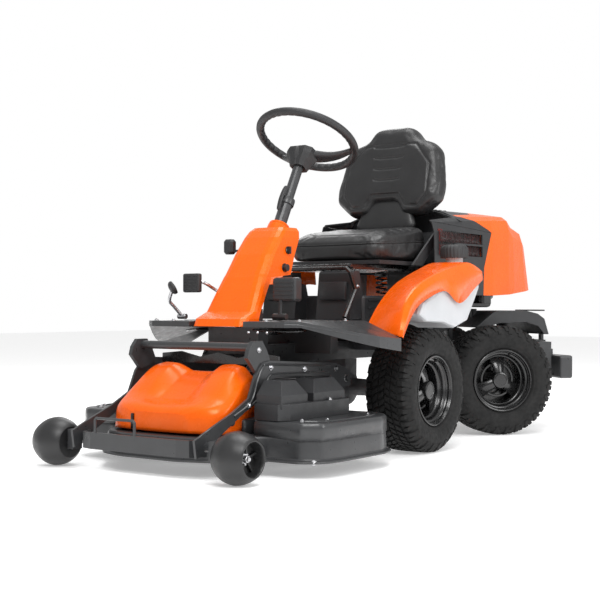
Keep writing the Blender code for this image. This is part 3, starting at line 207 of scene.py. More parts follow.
def tank_plastic():
    colour = (0.55, 0.56, 0.58)
    finish = Finish("tank_plastic", colour, 0.34)
    finish.vary_colour(finish.ranged(finish.noise(7), 0.35, 0.7, 0.0, 0.7), (0.47, 0.485, 0.50))
    finish.vary_roughness(finish.noise(30), 0.28, 0.42)
    finish.bump(finish.noise(500, 2), 0.0001, 0.3)
    socket(finish.shader, "Subsurface Weight", 0.25)
    socket(finish.shader, "Subsurface Radius", (0.02, 0.02, 0.022))
    return finish.material


def zinc_steel():
    finish = Finish("zinc_steel", (0.58, 0.58, 0.60), 0.26, metallic=1.0)
    finish.vary_colour(finish.ranged(finish.noise(40), 0.35, 0.7, 0.0, 1.0), (0.44, 0.44, 0.45))
    finish.vary_roughness(finish.noise(18, 3, (1, 1, 30)), 0.18, 0.38)
    finish.bump(finish.noise(60, 3, (1, 1, 25)), 0.0001, 0.3)
    return finish.material


def rough_casting():
    finish = Finish("rough_casting", (0.15, 0.15, 0.155), 0.55, metallic=0.7)
    finish.vary_colour(finish.ranged(finish.noise(18, 5), 0.35, 0.7, 0.0, 1.0), (0.08, 0.08, 0.082))
    finish.vary_roughness(finish.noise(60), 0.42, 0.70)
    finish.bump(finish.noise(300, 5), 0.0006, 0.5)
    return finish.material


def red_screen():
    """The red-painted inside behind the black mesh."""
    finish = Finish("red_screen", (0.22, 0.010, 0.006), 0.45)
    finish.vary_colour(finish.ranged(finish.noise(30), 0.3, 0.7, 0.0, 1.0), (0.10, 0.006, 0.004))
    finish.bump(finish.noise(200), 0.0002, 0.3)
    return finish.material


def pale_lens():
    finish = Finish("pale_lens", (0.85, 0.80, 0.74), 0.20)
    finish.vary_colour(finish.ranged(finish.noise(50), 0.3, 0.7, 0.0, 1.0), (0.75, 0.70, 0.64))
    finish.bump(finish.noise(400), 0.0001, 0.3)
    return finish.material


MATERIALS = {
    "orange": orange_plastic(),
    "dark_plastic": satin_plastic("dark_plastic", (0.017, 0.0175, 0.019), 0.42),
    "grip": satin_plastic("grip_rubber", (0.016, 0.016, 0.017), 0.50, 0.0004),
    "wheel_plastic": satin_plastic("roller_plastic", (0.013, 0.013, 0.0135), 0.36),
    "dark_paint": powder_coat("grey_powder_coat", (0.034, 0.035, 0.037), 0.34),
    "black_paint": powder_coat("black_paint", (0.0075, 0.0075, 0.008), 0.24, 0.12, 0.3, 0.00007),
    "vinyl": seat_vinyl(),
    "tyre": tyre_rubber(),
    "tank": tank_plastic(),
    "steel": zinc_steel(),
    "casting": rough_casting(),
    "red": red_screen(),
    "lens": pale_lens(),
}

# ---------------------------------------------------------------- shape tools: each adds to a bmesh


def add_box(bm, low, high, radius=0.0015, segments=2):
    made = bmesh.ops.create_cube(bm, size=1)["verts"]
    for vertex in made:
        for axis in range(3):
            vertex.co[axis] = low[axis] if vertex.co[axis] < 0 else high[axis]
    if radius:
        edges = list(dict.fromkeys(edge for vertex in made for edge in vertex.link_edges))
        bmesh.ops.bevel(bm, geom=edges, offset=radius, segments=segments, profile=0.5, affect="EDGES")


def add_rings(bm, rings, cyclic=False, caps=True):
    """A skin through rings with the same number of points."""
    rows = [[bm.verts.new(point) for point in ring] for ring in rings]
    pairs = list(zip(rows, rows[1:])) + ([(rows[-1], rows[0])] if cyclic else [])
    for row, following in pairs:
        for i in range(len(row)):
            j = (i + 1) % len(row)
            bm.faces.new((row[i], row[j], following[j], following[i]))
    if caps and not cyclic:
        bm.faces.new(rows[0])
        bm.faces.new(rows[-1])
    return rows


def axis_frame(axis):
    return Vector(axis).to_track_quat("Z", "Y").to_matrix().to_4x4()


def add_turned(bm, profile, centre=(0, 0, 0), axis=(1, 0, 0), steps=48, closed=True, caps=False):
    """A profile of (radius, distance along the axis) turned about the axis."""
    place = Matrix.Translation(Vector(centre)) @ axis_frame(axis)
    rings = []
    for i in range(steps):
        angle = 2 * pi * i / steps
        rings.append([place @ Vector((r * cos(angle), r * sin(angle), s)) for r, s in profile])
    rows = [[bm.verts.new(point) for point in ring] for ring in rings]
    count = len(profile)
    for i in range(steps):
        row, following = rows[i], rows[(i + 1) % steps]
        for k in range(count if closed else count - 1):
            m = (k + 1) % count
            bm.faces.new((row[k], following[k], following[m], row[m]))
    if caps:
        bm.faces.new([row[0] for row in rows])
        bm.faces.new([row[-1] for row in rows])


def add_rod(bm, start, end, radius, sides=16, chamfer=0.0012):
    start, end = Vector(start), Vector(end)
    length = (end - start).length
    chamfer = min(chamfer, length / 3, radius / 3)
    profile = [(radius - chamfer, 0), (radius, chamfer)]
    profile += [(radius, length - chamfer), (radius - chamfer, length)]
    add_turned(bm, profile, start, end - start, sides, closed=False, caps=True)


def add_tube(bm, points, radius, sides=10, cyclic=False, caps=True):
    """A round bar along a line of points."""
    points = [Vector(point) for point in points]
    count = len(points)
    rings, normal = [], None
    for i, point in enumerate(points):
        before = points[i - 1] if (i or cyclic) else points[0]
        after = points[(i + 1) % count] if (i < count - 1 or cyclic) else points[-1]
        along = (after - before).normalized()
        if normal is None:
            normal = along.orthogonal().normalized()
        normal = (normal - along * normal.dot(along)).normalized()
        across = along.cross(normal)
        thick = radius[i] if isinstance(radius, list) else radius
        turns = [2 * pi * k / sides for k in range(sides)]
        rings.append([point + (normal * cos(turn) + across * sin(turn)) * thick for turn in turns])
    add_rings(bm, rings, cyclic, caps)


def smooth_line(points, steps=6, cyclic=False):
    """A Catmull-Rom line through the points."""
    points = [Vector(point) for point in points]
    count = len(points)
    made = []
    for i in range(count if cyclic else count - 1):
        near = [(i + k) % count if cyclic else max(0, min(count - 1, i + k)) for k in (-1, 0, 1, 2)]
        a, b, c, d = (points[index] for index in near)
        for k in range(steps):
            t = k / steps
            square, cube = 2 * a - 5 * b + 4 * c - d, 3 * b - a - 3 * c + d
            made.append(0.5 * (2 * b + (c - a) * t + square * t * t + cube * t**3))
    return made if cyclic else made + [points[-1]]


def add_cord(bm, points, radius, steps=8):
    """A thin round bar on a smooth line through the points."""
    add_tube(bm, smooth_line(points, steps), radius, 8)


def add_side_box(bm, side, low, high, radius=0.0015):
    """A box given for the left side, put on either side."""
    x_low, x_high = sorted((side * low[0], side * high[0]))
    add_box(bm, (x_low, *low[1:]), (x_high, *high[1:]), radius)


def add_plate(bm, outline, low, high, normal="X", radius=0.0012):
    """A flat outline given a thickness, with softened edges."""
    orders = {"X": lambda u, v, w: (w, u, v), "Y": lambda u, v, w: (u, w, v), "Z": lambda u, v, w: (u, v, w)}
    order = orders[normal]
    rows = add_rings(bm, [[order(u, v, w) for u, v in outline] for w in (low, high)])
    if radius:
        edges = dict.fromkeys(edge for row in rows for vertex in row for edge in vertex.link_edges)
        sharp = [edge for edge in edges if edge.calc_face_angle(0) > radians(30)]
        bmesh.ops.bevel(bm, geom=sharp, offset=radius, segments=2, profile=0.5, affect="EDGES")


def add_bolt(bm, place, axis, size=0.007, washer=True):
    """A hexagon head on a washer."""
    place, axis = Vector(place), Vector(axis).normalized()
    if washer:
        add_rod(bm, place - axis * 0.002, place + axis * 0.0016, size * 1.45, 20, 0.0004)
    add_rod(bm, place, place + axis * (size * 0.9), size, 6, 0.0009)
    add_rod(bm, place, place + axis * (size * 0.9 + 0.002), size * 0.55, 12, 0.0006)


# ---------------------------------------------------------------- making pieces
def piece(name, bm, material, body, place=CHASSIS, angle=38, stands_for=(), subdivide=0):
    mesh = bpy.data.meshes.new(name)
    bmesh.ops.recalc_face_normals(bm, faces=bm.faces)
    bm.to_mesh(mesh)
    bm.free()
    return piece_of_mesh(name, mesh, material, body, place, angle, stands_for, subdivide)


def piece_of_mesh(name, mesh, material, body, place=CHASSIS, angle=38, stands_for=(), subdivide=0):
    mesh.materials.clear()
    mesh.materials.append(MATERIALS[material])
    made = bpy.data.objects.new(name, mesh)
    bpy.context.scene.collection.objects.link(made)
    if subdivide:
        modifier = made.modifiers.new("smooth", "SUBSURF")
        modifier.levels = modifier.render_levels = subdivide
    mesh.shade_smooth()
    if angle:
        mesh.set_sharp_from_angle(angle=radians(angle))
    made.matrix_world = place
    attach(made, body)
    if stands_for:
        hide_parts(*stands_for)
    return made


# ---------------------------------------------------------------- CAD nodes that stay
NODE_EDGE = {"column_tube": 0.0, "hood_shell": 0.0010, "hood_top": 0.0010}
NODE_EDGE.update({"fender_left": 0.0008, "fender_right": 0.0008})


def dress_cad_nodes():
    """Gives each CAD node its full material and softly rounded edges."""
    for name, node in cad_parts.items():
        for slot in node.material_slots:
            slot.material = MATERIALS[slot.material.name.split(".")[0]]
        weld = node.modifiers.new("weld", "WELD")
        weld.merge_threshold = 0.00003
        width = NODE_EDGE.get(name, 0.0014)
        if width:
            edge = node.modifiers.new("edges", "BEVEL")
            edge.width = width
            edge.segments = 2
            edge.limit_method = "ANGLE"
            edge.angle_limit = radians(32)
            edge.use_clamp_overlap = True
            edge.harden_normals = True


# ---------------------------------------------------------------- wheels
# Half sections of the tyre and the rim: radius, distance from the middle.
TYRE_HALF = [(0.1062, 0.0650), (0.1166, 0.0664), (0.1190, 0.0715), (0.1240, 0.0765), (0.1275, 0.0770)]
TYRE_HALF += [(0.1300, 0.0792), (0.1400, 0.0825), (0.1540, 0.0842), (0.1660, 0.0838), (0.1780, 0.0800)]
TYRE_HALF += [(0.1880, 0.0735), (0.1945, 0.0625), (0.1965, 0.0450), (0.1972, 0.0200)]
TYRE_INSIDE = [(0.1062, 0.052), (0.1480, 0.072), (0.1880, 0.050)]
PITCHES = 28


def lug(bm, side, angle, stations, half, skew=0.0):
    """A tread block through stations of (top x, top radius, foot x, foot radius)."""
    rings = []
    for i, (top_x, top_r, foot_x, foot_r) in enumerate(stations):
        turn = angle + skew * i / (len(stations) - 1)
        ring = []
        corners = ((foot_x, foot_r, -1), (top_x, top_r, -0.80), (top_x, top_r, 0.80), (foot_x, foot_r, 1))
        for x, r, width in corners:
            a = turn + width * half / r
            ring.append((side * x, r * cos(a), r * sin(a)))
        rings.append(ring)
    add_rings(bm, rings)


LONG_LUG = [(0.0480, 0.2026, 0.0470, 0.190), (0.0640, 0.2016, 0.0620, 0.188), (0.0733, 0.1928, 0.0700, 0.183)]
LONG_LUG += [(0.0803, 0.1833, 0.0755, 0.178), (0.0850, 0.1745, 0.0780, 0.170)]
SHORT_LUG = [(0.0540, 0.2024, 0.0530, 0.190), (0.0660, 0.2006, 0.0640, 0.187)]
SHORT_LUG += [(0.0733, 0.1922, 0.0700, 0.183), (0.0796, 0.1840, 0.0755, 0.180)]
INNER_LUG = [(0.0250, 0.2034, 0.0240, 0.192), (0.0420, 0.2031, 0.0430, 0.191)]
MIDDLE_LUG = [(0.0030, 0.2035, 0.0020, 0.192), (0.0190, 0.2035, 0.0200, 0.192)]


def tyre_mesh():
    bm = bmesh.new()
    profile = TYRE_HALF + [(r, -s) for r, s in reversed(TYRE_HALF)] + [(r, -s) for r, s in TYRE_INSIDE]
    profile += list(reversed(TYRE_INSIDE))
    add_turned(bm, profile, steps=96)
    step = 2 * pi / PITCHES
    for i in range(PITCHES):
        for side in (-1, 1):
            angle = step * (i + (0.25 if side > 0 else 0))
            lug(bm, side, angle, LONG_LUG, 0.0088, 0.03)
            lug(bm, side, angle + step / 2, SHORT_LUG, 0.0080, -0.03)
            lug(bm, side, angle + step * 0.25, INNER_LUG, 0.0085, 0.06)
            lug(bm, side, angle + step * 0.75, INNER_LUG, 0.0075, 0.05)
            lug(bm, side, angle + step * 0.05, MIDDLE_LUG, 0.0090, 0.05)
            lug(bm, side, angle + step * 0.55, MIDDLE_LUG, 0.0080, 0.05)
    return bm


RIM_HALF = [(0.1040, 0.0480), (0.1056, 0.0500), (0.1056, 0.0650), (0.1160, 0.0664), (0.1160, 0.0705)]
RIM_HALF += [(0.1148, 0.0733), (0.1122, 0.0745), (0.1096, 0.0738), (0.1078, 0.0705), (0.1050, 0.0570)]
RIM_HALF += [(0.1030, 0.0545), (0.0992, 0.0535), (0.0968, 0.0515), (0.0955, 0.0470), (0.0940, 0.0375)]
RIM_HALF += [(0.0915, 0.0342), (0.0885, 0.0330), (0.0866, 0.0300), (0.0860, 0.0150)]


def spoke(bm, angle):
    """A wide ridged spoke that rises from the dish to the hub."""
    turn = Matrix.Rotation(angle, 4, "X")
    stations = [
        # radius, half width, face x, ridge height, thickness
        (0.024, 0.018, 0.040, 0.0060, 0.022),
        (0.040, 0.019, 0.037, 0.0065, 0.018),
        (0.060, 0.022, 0.029, 0.0060, 0.014),
        (0.078, 0.027, 0.020, 0.0040, 0.012),
        (0.0885, 0.031, 0.014, 0.0020, 0.010),
    ]
    rings = []
    for r, half, face, ridge, thick in stations:
        near = [(face - thick, half), (face - 0.002, half), (face, half * 0.86), (face + ridge, half * 0.34)]
        ring = [(x, -y) for x, y in near] + list(reversed(near))
        rings.append([turn @ Vector((x, y, r)) for x, y in ring])
    add_rings(bm, rings)


def rim_mesh():
    bm = bmesh.new()
    profile = RIM_HALF + [(r, -s) for r, s in reversed(RIM_HALF)]
    add_turned(bm, profile, steps=96)
    add_turned(bm, [(0.030, -0.034), (0.0880, -0.034), (0.0880, -0.028), (0.030, -0.028)], steps=64)
    for degrees in (0, 120, 240):
        spoke(bm, radians(degrees))
    bead = [(0.058, 0.008), (0.064, 0.008), (0.0655, 0.013)]
    bead += [(0.064, 0.0165), (0.058, 0.0165), (0.0565, 0.013)]
    add_turned(bm, bead, steps=64)
    hub = [(0.0131, -0.040), (0.0315, -0.040), (0.0325, -0.036), (0.0325, 0.030), (0.0305, 0.040)]
    hub += [(0.0300, 0.0505), (0.0290, 0.0532)]
    hub += [(0.0262, 0.0545), (0.0215, 0.0548), (0.0208, 0.0535), (0.0050, 0.0535)]
    add_turned(bm, hub, steps=48, closed=False, caps=True)
    add_rod(bm, (0.0440, 0.030, 0.0925), (0.062, 0.034, 0.0965), 0.0035, 12)
    return bm


def add_wheels():
    """Each wheel's own turn is in its mesh, so that its box is measured along the row's axes."""
    ends = (("front", CHASSIS, Matrix.Identity(4), 0.356, 0.0), ("rear", REAR, REAR_TURN, 0.3135, WHEELBASE))
    for end, base, turn, x, y in ends:
        for side, sign in (("left", 1), ("right", -1)):
            key = end + "_" + side
            facing = turn @ (Matrix.Rotation(pi, 4, "Z") if sign < 0 else Matrix.Identity(4))
            place = Matrix.Translation((base @ Matrix.Translation((sign * x, y, AXLE_Z))).translation)
            for name, shape, finish in (("tyre", tyre_mesh(), "tyre"), ("rim", rim_mesh(), "black_paint")):
                bmesh.ops.transform(shape, matrix=facing, verts=shape.verts)
                piece(name + "_full_" + key, shape, finish, "wheel_" + key, place, 35, [name + "_" + key])


def add_support_wheels():
    for side, name in ((1, "left"), (-1, "right")):
        bm = bmesh.new()
        half = 0.056
        barrel = [(0.0462, half - 0.003), (0.0478, half - 0.0006), (0.0502, half), (0.0530, half - 0.002)]
        barrel += [(0.0575, half - 0.009), (0.0640, half - 0.021), (0.0690, half - 0.033)]
        barrel += [(0.0718, half - 0.046), (SUPPORT_RADIUS, 0.0), (0.0718, 0.046 - half)]
        barrel.append((0.0680, 0.030 - half))
        barrel += [(0.0600, 0.014 - half), (0.0520, 0.004 - half), (0.0460, -half), (0.0106, -half + 0.004)]
        barrel += [(0.0106, half - 0.034), (0.0430, half - 0.034), (0.0446, half - 0.010)]
        place = CHASSIS @ Matrix.Translation((side * 0.347, -0.929, SUPPORT_RADIUS))
        add_turned(bm, barrel, axis=(side, 0, 0), steps=72)
        for i in range(5):
            turn = Matrix.Rotation(2 * pi * i / 5, 4, "X")
            rib = [(0.020, -0.003), (0.020, 0.003), (0.031, 0.003), (0.031, -0.003)]
            add_rings(bm, [[turn @ Vector((side * x, y, z)) for x, y in rib] for z in (0.014, 0.0445)])
        body = "support_wheel_" + name
        piece("support_roller_" + name, bm, "wheel_plastic", body, place, 35, [body])
        bm = bmesh.new()
        add_rod(bm, (side * 0.0225, 0, 0), (side * 0.027, 0, 0), 0.0175, 28, 0.0008)
        add_rod(bm, (side * 0.026, 0, 0), (side * 0.0365, 0, 0), 0.0105, 6, 0.0012)
        add_rod(bm, (side * 0.036, 0, 0), (side * 0.0415, 0, 0), 0.0062, 16, 0.0010)
        piece("support_bolt_" + name, bm, "steel", "equipment_frame", place, 35)


# ---------------------------------------------------------------- steering wheel and column
def wheel_point(angle, radius, drop=0.0):
    along = Vector((0, cos(COLUMN_TILT), -sin(COLUMN_TILT)))
    return WHEEL_CENTRE + (Vector((1, 0, 0)) * cos(angle) + along * sin(angle)) * radius - COLUMN * drop


def column_point(distance):
    return WHEEL_CENTRE - COLUMN * distance


HUB_LEVELS = [
    # drop below the ring, half width, half depth
    (0.043, 0.044, 0.036),
    (0.047, 0.051, 0.041),
    (0.056, 0.052, 0.042),
    (0.072, 0.047, 0.039),
    (0.090, 0.036, 0.033),
    (0.112, 0.0265, 0.0265),
]


def add_steering_wheel():
    bm = bmesh.new()
    count, sides, notches = 240, 16, 40
    rows = []
    for i in range(count):
        angle = 2 * pi * i / count
        outward = wheel_point(angle, 1.0) - WHEEL_CENTRE
        dent = 0.0040 * (0.5 + 0.5 * cos(notches * angle)) ** 3
        row = []
        for k in range(sides):
            turn = 2 * pi * k / sides
            inner = max(0.0, -cos(turn)) ** 2
            r = 0.0142 - dent * inner
            middle = wheel_point(angle, 0.166)
            row.append(middle + outward * (cos(turn) * r) + COLUMN * (sin(turn) * r * 0.98))
        rows.append(row)
    add_rings(bm, rows, cyclic=True)
    piece("steering_ring", bm, "grip", "steering_wheel", angle=50, stands_for=["steering_wheel"])
    bm = bmesh.new()
    for degrees in (28, 152):
        angle = radians(degrees)
        sideways = (wheel_point(angle + pi / 2, 1) - WHEEL_CENTRE).normalized()
        stations = [
            # radius, drop below the ring, half width, half thickness
            (0.006, 0.060, 0.032, 0.015),
            (0.040, 0.056, 0.030, 0.0145),
            (0.085, 0.050, 0.024, 0.0115),
            (0.125, 0.032, 0.020, 0.0095),
            (0.152, 0.009, 0.017, 0.0075),
            (0.163, 0.001, 0.014, 0.0055),
        ]
        rings = []
        for r, drop, half, thick in stations:
            centre = wheel_point(angle, r, drop)
            ring_points = []
            for k in range(12):
                t = 2 * pi * k / 12
                across, up = cos(t), sin(t)
                ring_points.append(
                    centre
                    + sideways * (half * abs(across) ** 0.6 * (1 if across > 0 else -1))
                    + COLUMN * (thick * abs(up) ** 0.6 * (1 if up > 0 else -1))
                )
            rings.append(ring_points)
        add_rings(bm, rings)
        ridge = [wheel_point(angle, r, drop - thick * 0.9) for r, drop, half, thick in stations[1:-1]]
        add_tube(bm, smooth_line(ridge, 4), 0.0035, 8)
    piece("steering_spokes", bm, "grip", "steering_wheel", angle=40, subdivide=1)
    bm = bmesh.new()
    hub = [(0.0178, -0.112), (0.0250, -0.112), (0.0275, -0.108), (0.0300, -0.094), (0.0380, -0.082)]
    hub += [(0.0420, -0.068), (0.0425, -0.056)]
    hub += [(0.0405, -0.050), (0.0365, -0.0465), (0.0300, -0.0450), (0.0100, -0.0440)]
    add_turned(bm, hub, WHEEL_CENTRE, COLUMN, 8, closed=False, caps=True)
    block = []
    along = Vector((0, cos(COLUMN_TILT), -sin(COLUMN_TILT)))
    corners = ((1, 0.6), (0.6, 1), (-0.6, 1), (-1, 0.6), (-1, -0.6), (-0.6, -1), (0.6, -1), (1, -0.6))
    for drop, half_x, half_y in HUB_LEVELS:
        ring = []
        for sx, sy in corners:
            across = Vector((1, 0, 0)) * (sx * half_x)
            ring.append(column_point(drop) + across + along * (sy * half_y + 0.003))
        block.append(ring)
    add_rings(bm, block)
    piece("steering_hub", bm, "grip", "steering_wheel", angle=30, subdivide=0)
    bm = bmesh.new()
    outward = Vector((0, -COLUMN.z, COLUMN.y))
    stations = [
        # drop along the column, distance out, half width, half thickness
        (0.200, 0.0290, 0.0055, 0.0040),
        (0.215, 0.0330, 0.0070, 0.0045),
        (0.235, 0.0345, 0.0085, 0.0048),
        (0.258, 0.0345, 0.0090, 0.0050),
        (0.280, 0.0325, 0.0082, 0.0045),
        (0.298, 0.0310, 0.0062, 0.0040),
    ]
    rings = []
    for drop, out, half, thick in stations:
        centre = column_point(drop) + outward * out
        turns = [2 * pi * k / 10 for k in range(10)]
        ring = [centre + Vector((cos(t) * half, 0, 0)) + outward * (sin(t) * thick) for t in turns]
        rings.append(ring)
    add_rings(bm, rings)
    piece("column_lever_grip", bm, "grip", "column_lever", angle=40, stands_for=["column_lever"], subdivide=1)
    bm = bmesh.new()
    clamp = [(0.0215, -0.012), (0.0245, -0.012), (0.0255, -0.008)]
    clamp += [(0.0255, 0.008), (0.0245, 0.012), (0.0215, 0.012)]
    add_turned(bm, clamp, column_point(0.248), COLUMN, 40)
    low = column_point(0.255) + outward * 0.0235
    add_rod(bm, low - Vector((0.008, 0, 0)), low + Vector((0.008, 0, 0)), 0.0040, 12)
    piece("column_clamp", bm, "dark_paint", "chassis", angle=35)


# ---------------------------------------------------------------- seat: stuffed vinyl, blown up as cloth
def swollen(bm, cap, pinned, pressure=4.0, voxel=0.006):
    """The closed shape remeshed, blown up as cloth and stopped at a cap; pinned(point) stays put."""
    mesh = bpy.data.meshes.new("pad")
    bmesh.ops.recalc_face_normals(bm, faces=bm.faces)
    bm.to_mesh(mesh)
    bm.free()
    pad = bpy.data.objects.new("pad", mesh)
    bpy.context.scene.collection.objects.link(pad)
    remesh = pad.modifiers.new("remesh", "REMESH")
    remesh.mode = "VOXEL"
    remesh.voxel_size = voxel
    even = pad.modifiers.new("even", "SMOOTH")
    even.iterations = 3
    mesh = evaluated_mesh(pad)
    pad.modifiers.clear()
    pad.data = mesh
    rest = coordinates(mesh)
    group = pad.vertex_groups.new(name="pin")
    group.add([i for i, point in enumerate(rest) if pinned(point)], 1.0, "REPLACE")
    cloth = pad.modifiers.new("cloth", "CLOTH")
    settings = cloth.settings
    settings.use_pressure = True
    settings.uniform_pressure_force = pressure
    settings.effector_weights.gravity = 0
    settings.quality = 5
    settings.mass = 0.3
    settings.vertex_group_mass = "pin"
    cloth.collision_settings.use_collision = False
    cloth.point_cache.frame_start, cloth.point_cache.frame_end = 1, 20
    for number in range(1, 21):
        bpy.context.scene.frame_set(number)
    blown = evaluated_mesh(pad)
    moved = coordinates(blown) - rest
    length = np.linalg.norm(moved, axis=1, keepdims=True)
    share = cap * np.tanh(length / cap) / np.maximum(length, 1e-9)
    pad.modifiers.clear()
    place_coordinates(pad.data, rest + moved * share)
    bpy.context.scene.frame_set(1)
    smooth = pad.modifiers.new("smooth", "SUBSURF")
    smooth.levels = smooth.render_levels = 1
    mesh = evaluated_mesh(pad)
    bpy.data.objects.remove(pad)
    return mesh


def evaluated_mesh(obj):
    bpy.context.view_layer.update()
    graph = bpy.context.evaluated_depsgraph_get()
    return bpy.data.meshes.new_from_object(obj.evaluated_get(graph))


def coordinates(mesh):
    flat = np.zeros(len(mesh.vertices) * 3)
    mesh.vertices.foreach_get("co", flat)
    return flat.reshape(-1, 3)


def normals(mesh):
    flat = np.zeros(len(mesh.vertices) * 3)
    mesh.vertices.foreach_get("normal", flat)
    return flat.reshape(-1, 3)


def place_coordinates(mesh, points):
    mesh.vertices.foreach_set("co", points.ravel())
    mesh.update()


def distance_to_line(points, line, cyclic=False):
    """Each 2-D point's distance to a line of 2-D points."""
    line = np.array(line, float)
    ends = np.roll(line, -1, axis=0) if cyclic else line[1:]
    starts = line if cyclic else line[:-1]
    nearest = np.full(len(points), 1e9)
    for a, b in zip(starts, ends):
        along = b - a
        share = np.clip(((points - a) @ along) / max(along @ along, 1e-12), 0, 1)
        nearest = np.minimum(nearest, np.linalg.norm(points - a - share[:, None] * along, axis=1))
    return nearest


def pressed(mesh, distance, width, depth, where):
    """Pulls the surface in along a seam: depth at the line, fading over width."""
    weight = np.exp(-((distance / width) ** 2)) * where
    place_coordinates(mesh, coordinates(mesh) - normals(mesh) * (weight * depth)[:, None])


def round_corner_outline(half_x, y_low, y_high, radius, steps=6):
    made = []
    for cx, cy, start in ((half_x - radius, y_low + radius, -90), (half_x - radius, y_high - radius, 0)):
        turns = [radians(start + 90 * k / steps) for k in range(steps + 1)]
        made += [(cx + radius * cos(turn), cy + radius * sin(turn)) for turn in turns]
    return made + [(-x, y) for x, y in reversed(made)]


def cushion_top(x, y):
    """Height of the cushion's top: dished in the middle, raised at the back and the sides."""
    side = (abs(x) / 0.20) ** 3
    front = max(0.0, (0.10 - y) / 0.09)
    height = float(np.interp(y, (0.010, 0.030, 0.120, 0.250, 0.378), (0.702, 0.719, 0.747, 0.763, 0.773)))
    return height - 0.006 + 0.006 * side - 0.002 * front**2


def add_cushion():
    bm = bmesh.new()
    levels = [
        # height share, inset
        (0.00, 0.022), (0.12, 0.012), (0.40, 0.008), (0.70, 0.008), (0.90, 0.012), (1.00, 0.024),
    ]
    rings = []
    for share, inset in levels:
        outline = round_corner_outline(0.204 - inset, 0.014 + inset, 0.398 - inset, 0.060)
        heights = [share * (cushion_top(x, y) - CUSHION_LOW - 0.009) for x, y in outline]
        rings.append([(x, y, CUSHION_LOW + 0.003 + height) for (x, y), height in zip(outline, heights)])
    for scale in (0.8, 0.55, 0.3, 0.1):
        middle = round_corner_outline(0.179, 0.042, 0.368, 0.055)
        outline = [(x * scale, 0.205 + (y - 0.205) * scale) for x, y in middle]
        rings.append([(x, y, cushion_top(x, y) - 0.006) for x, y in outline])
    add_rings(bm, rings)
    mesh = swollen(bm, 0.009, lambda p: p[2] < CUSHION_LOW + 0.006)
    points = coordinates(mesh)
    seam = 0.694 + 0.022 * np.clip((points[:, 1] - 0.05) / 0.33, 0, 1)
    outer = np.maximum(np.abs(points[:, 0]) / 0.190, np.abs(points[:, 1] - 0.205) / 0.175) > 0.92
    pressed(mesh, points[:, 2] - seam, 0.0055, 0.0030, outer)
    points = coordinates(mesh)
    panel = distance_to_line(points[:, :2], round_corner_outline(0.145, 0.075, 0.345, 0.05), True)
    pressed(mesh, panel, 0.0045, 0.0026, points[:, 2] > 0.728)
    points = coordinates(mesh)
    for y in (0.150, 0.210, 0.270):
        line = distance_to_line(points[:, :2], [(-0.085, y), (0.085, y)])
        pressed(mesh, line, 0.0045, 0.0024, points[:, 2] > 0.735)
    points = coordinates(mesh)
    points[:, 2] = np.maximum(points[:, 2], CUSHION_LOW)
    place_coordinates(mesh, points)
    cushion = piece_of_mesh("seat_cushion_pad", mesh, "vinyl", "seat", CHASSIS, 0, ["seat_cushion"])
    tree = BVHTree.FromPolygons([v.co for v in mesh.vertices], [p.vertices[:] for p in mesh.polygons])
    piping = []
    for i in range(120):
        angle = 2 * pi * i / 120
        outward = Vector((cos(angle), sin(angle), 0))
        share = min(1.0, max(0.0, (0.205 + 0.19 * sin(angle) - 0.05) / 0.33))
        start = Vector((0, 0.205, 0.694 + 0.022 * share))
        hit = tree.ray_cast(start + outward * 0.5, -outward)[0]
        piping.append(hit + outward * 0.0004)
    bm = bmesh.new()
    add_tube(bm, piping, 0.0026, 8, cyclic=True)
    piece("seat_cushion_piping", bm, "vinyl", "seat", CHASSIS, 0)


BACK_HALF = [(0.076, 0.035), (0.150, 0.035), (0.222, 0.092), (0.226, 0.150), (0.203, 0.285), (0.168, 0.318)]
BACK_HALF += [(0.116, 0.334), (0.086, 0.375), (0.060, 0.385)]


def mirrored_outline(half):
    return half + [(-x, y) for x, y in reversed(half)]


def shrunk(outline, distance):
    """An anticlockwise outline moved inwards."""
    made, count = [], len(outline)
    for i in range(count):
        a, b, c = (Vector(outline[(i + k) % count]) for k in (-1, 0, 1))
        first, second = (b - a).normalized(), (c - b).normalized()
        one, two = Vector((-first.y, first.x)), Vector((-second.y, second.x))
        middle = (one + two).normalized()
        made.append(tuple(b + middle * distance / max(0.4, middle.dot(one))))
    return made


def rounded_outline(outline, radius=0.018, steps=4):
    """The outline with each corner rounded."""
    made, count = [], len(outline)
    for i in range(count):
        a, b, c = (Vector(outline[(i + k) % count]) for k in (-1, 0, 1))
        cut_in, cut_out = min(radius, (a - b).length * 0.45), min(radius, (c - b).length * 0.45)
        start, end = b + (a - b).normalized() * cut_in, b + (c - b).normalized() * cut_out
        for k in range(steps + 1):
            t = k / steps
            made.append(tuple((1 - t) ** 2 * start + 2 * t * (1 - t) * b + t * t * end))
    return made


NECK_LEVELS = [
    # z, half width, front y, back y, in the backrest's own place
    (-0.030, 0.132, -0.070, -0.030),
    (0.000, 0.128, -0.072, -0.028),
    (0.055, 0.108, -0.072, -0.026),
    (0.110, 0.080, -0.066, -0.024),
]


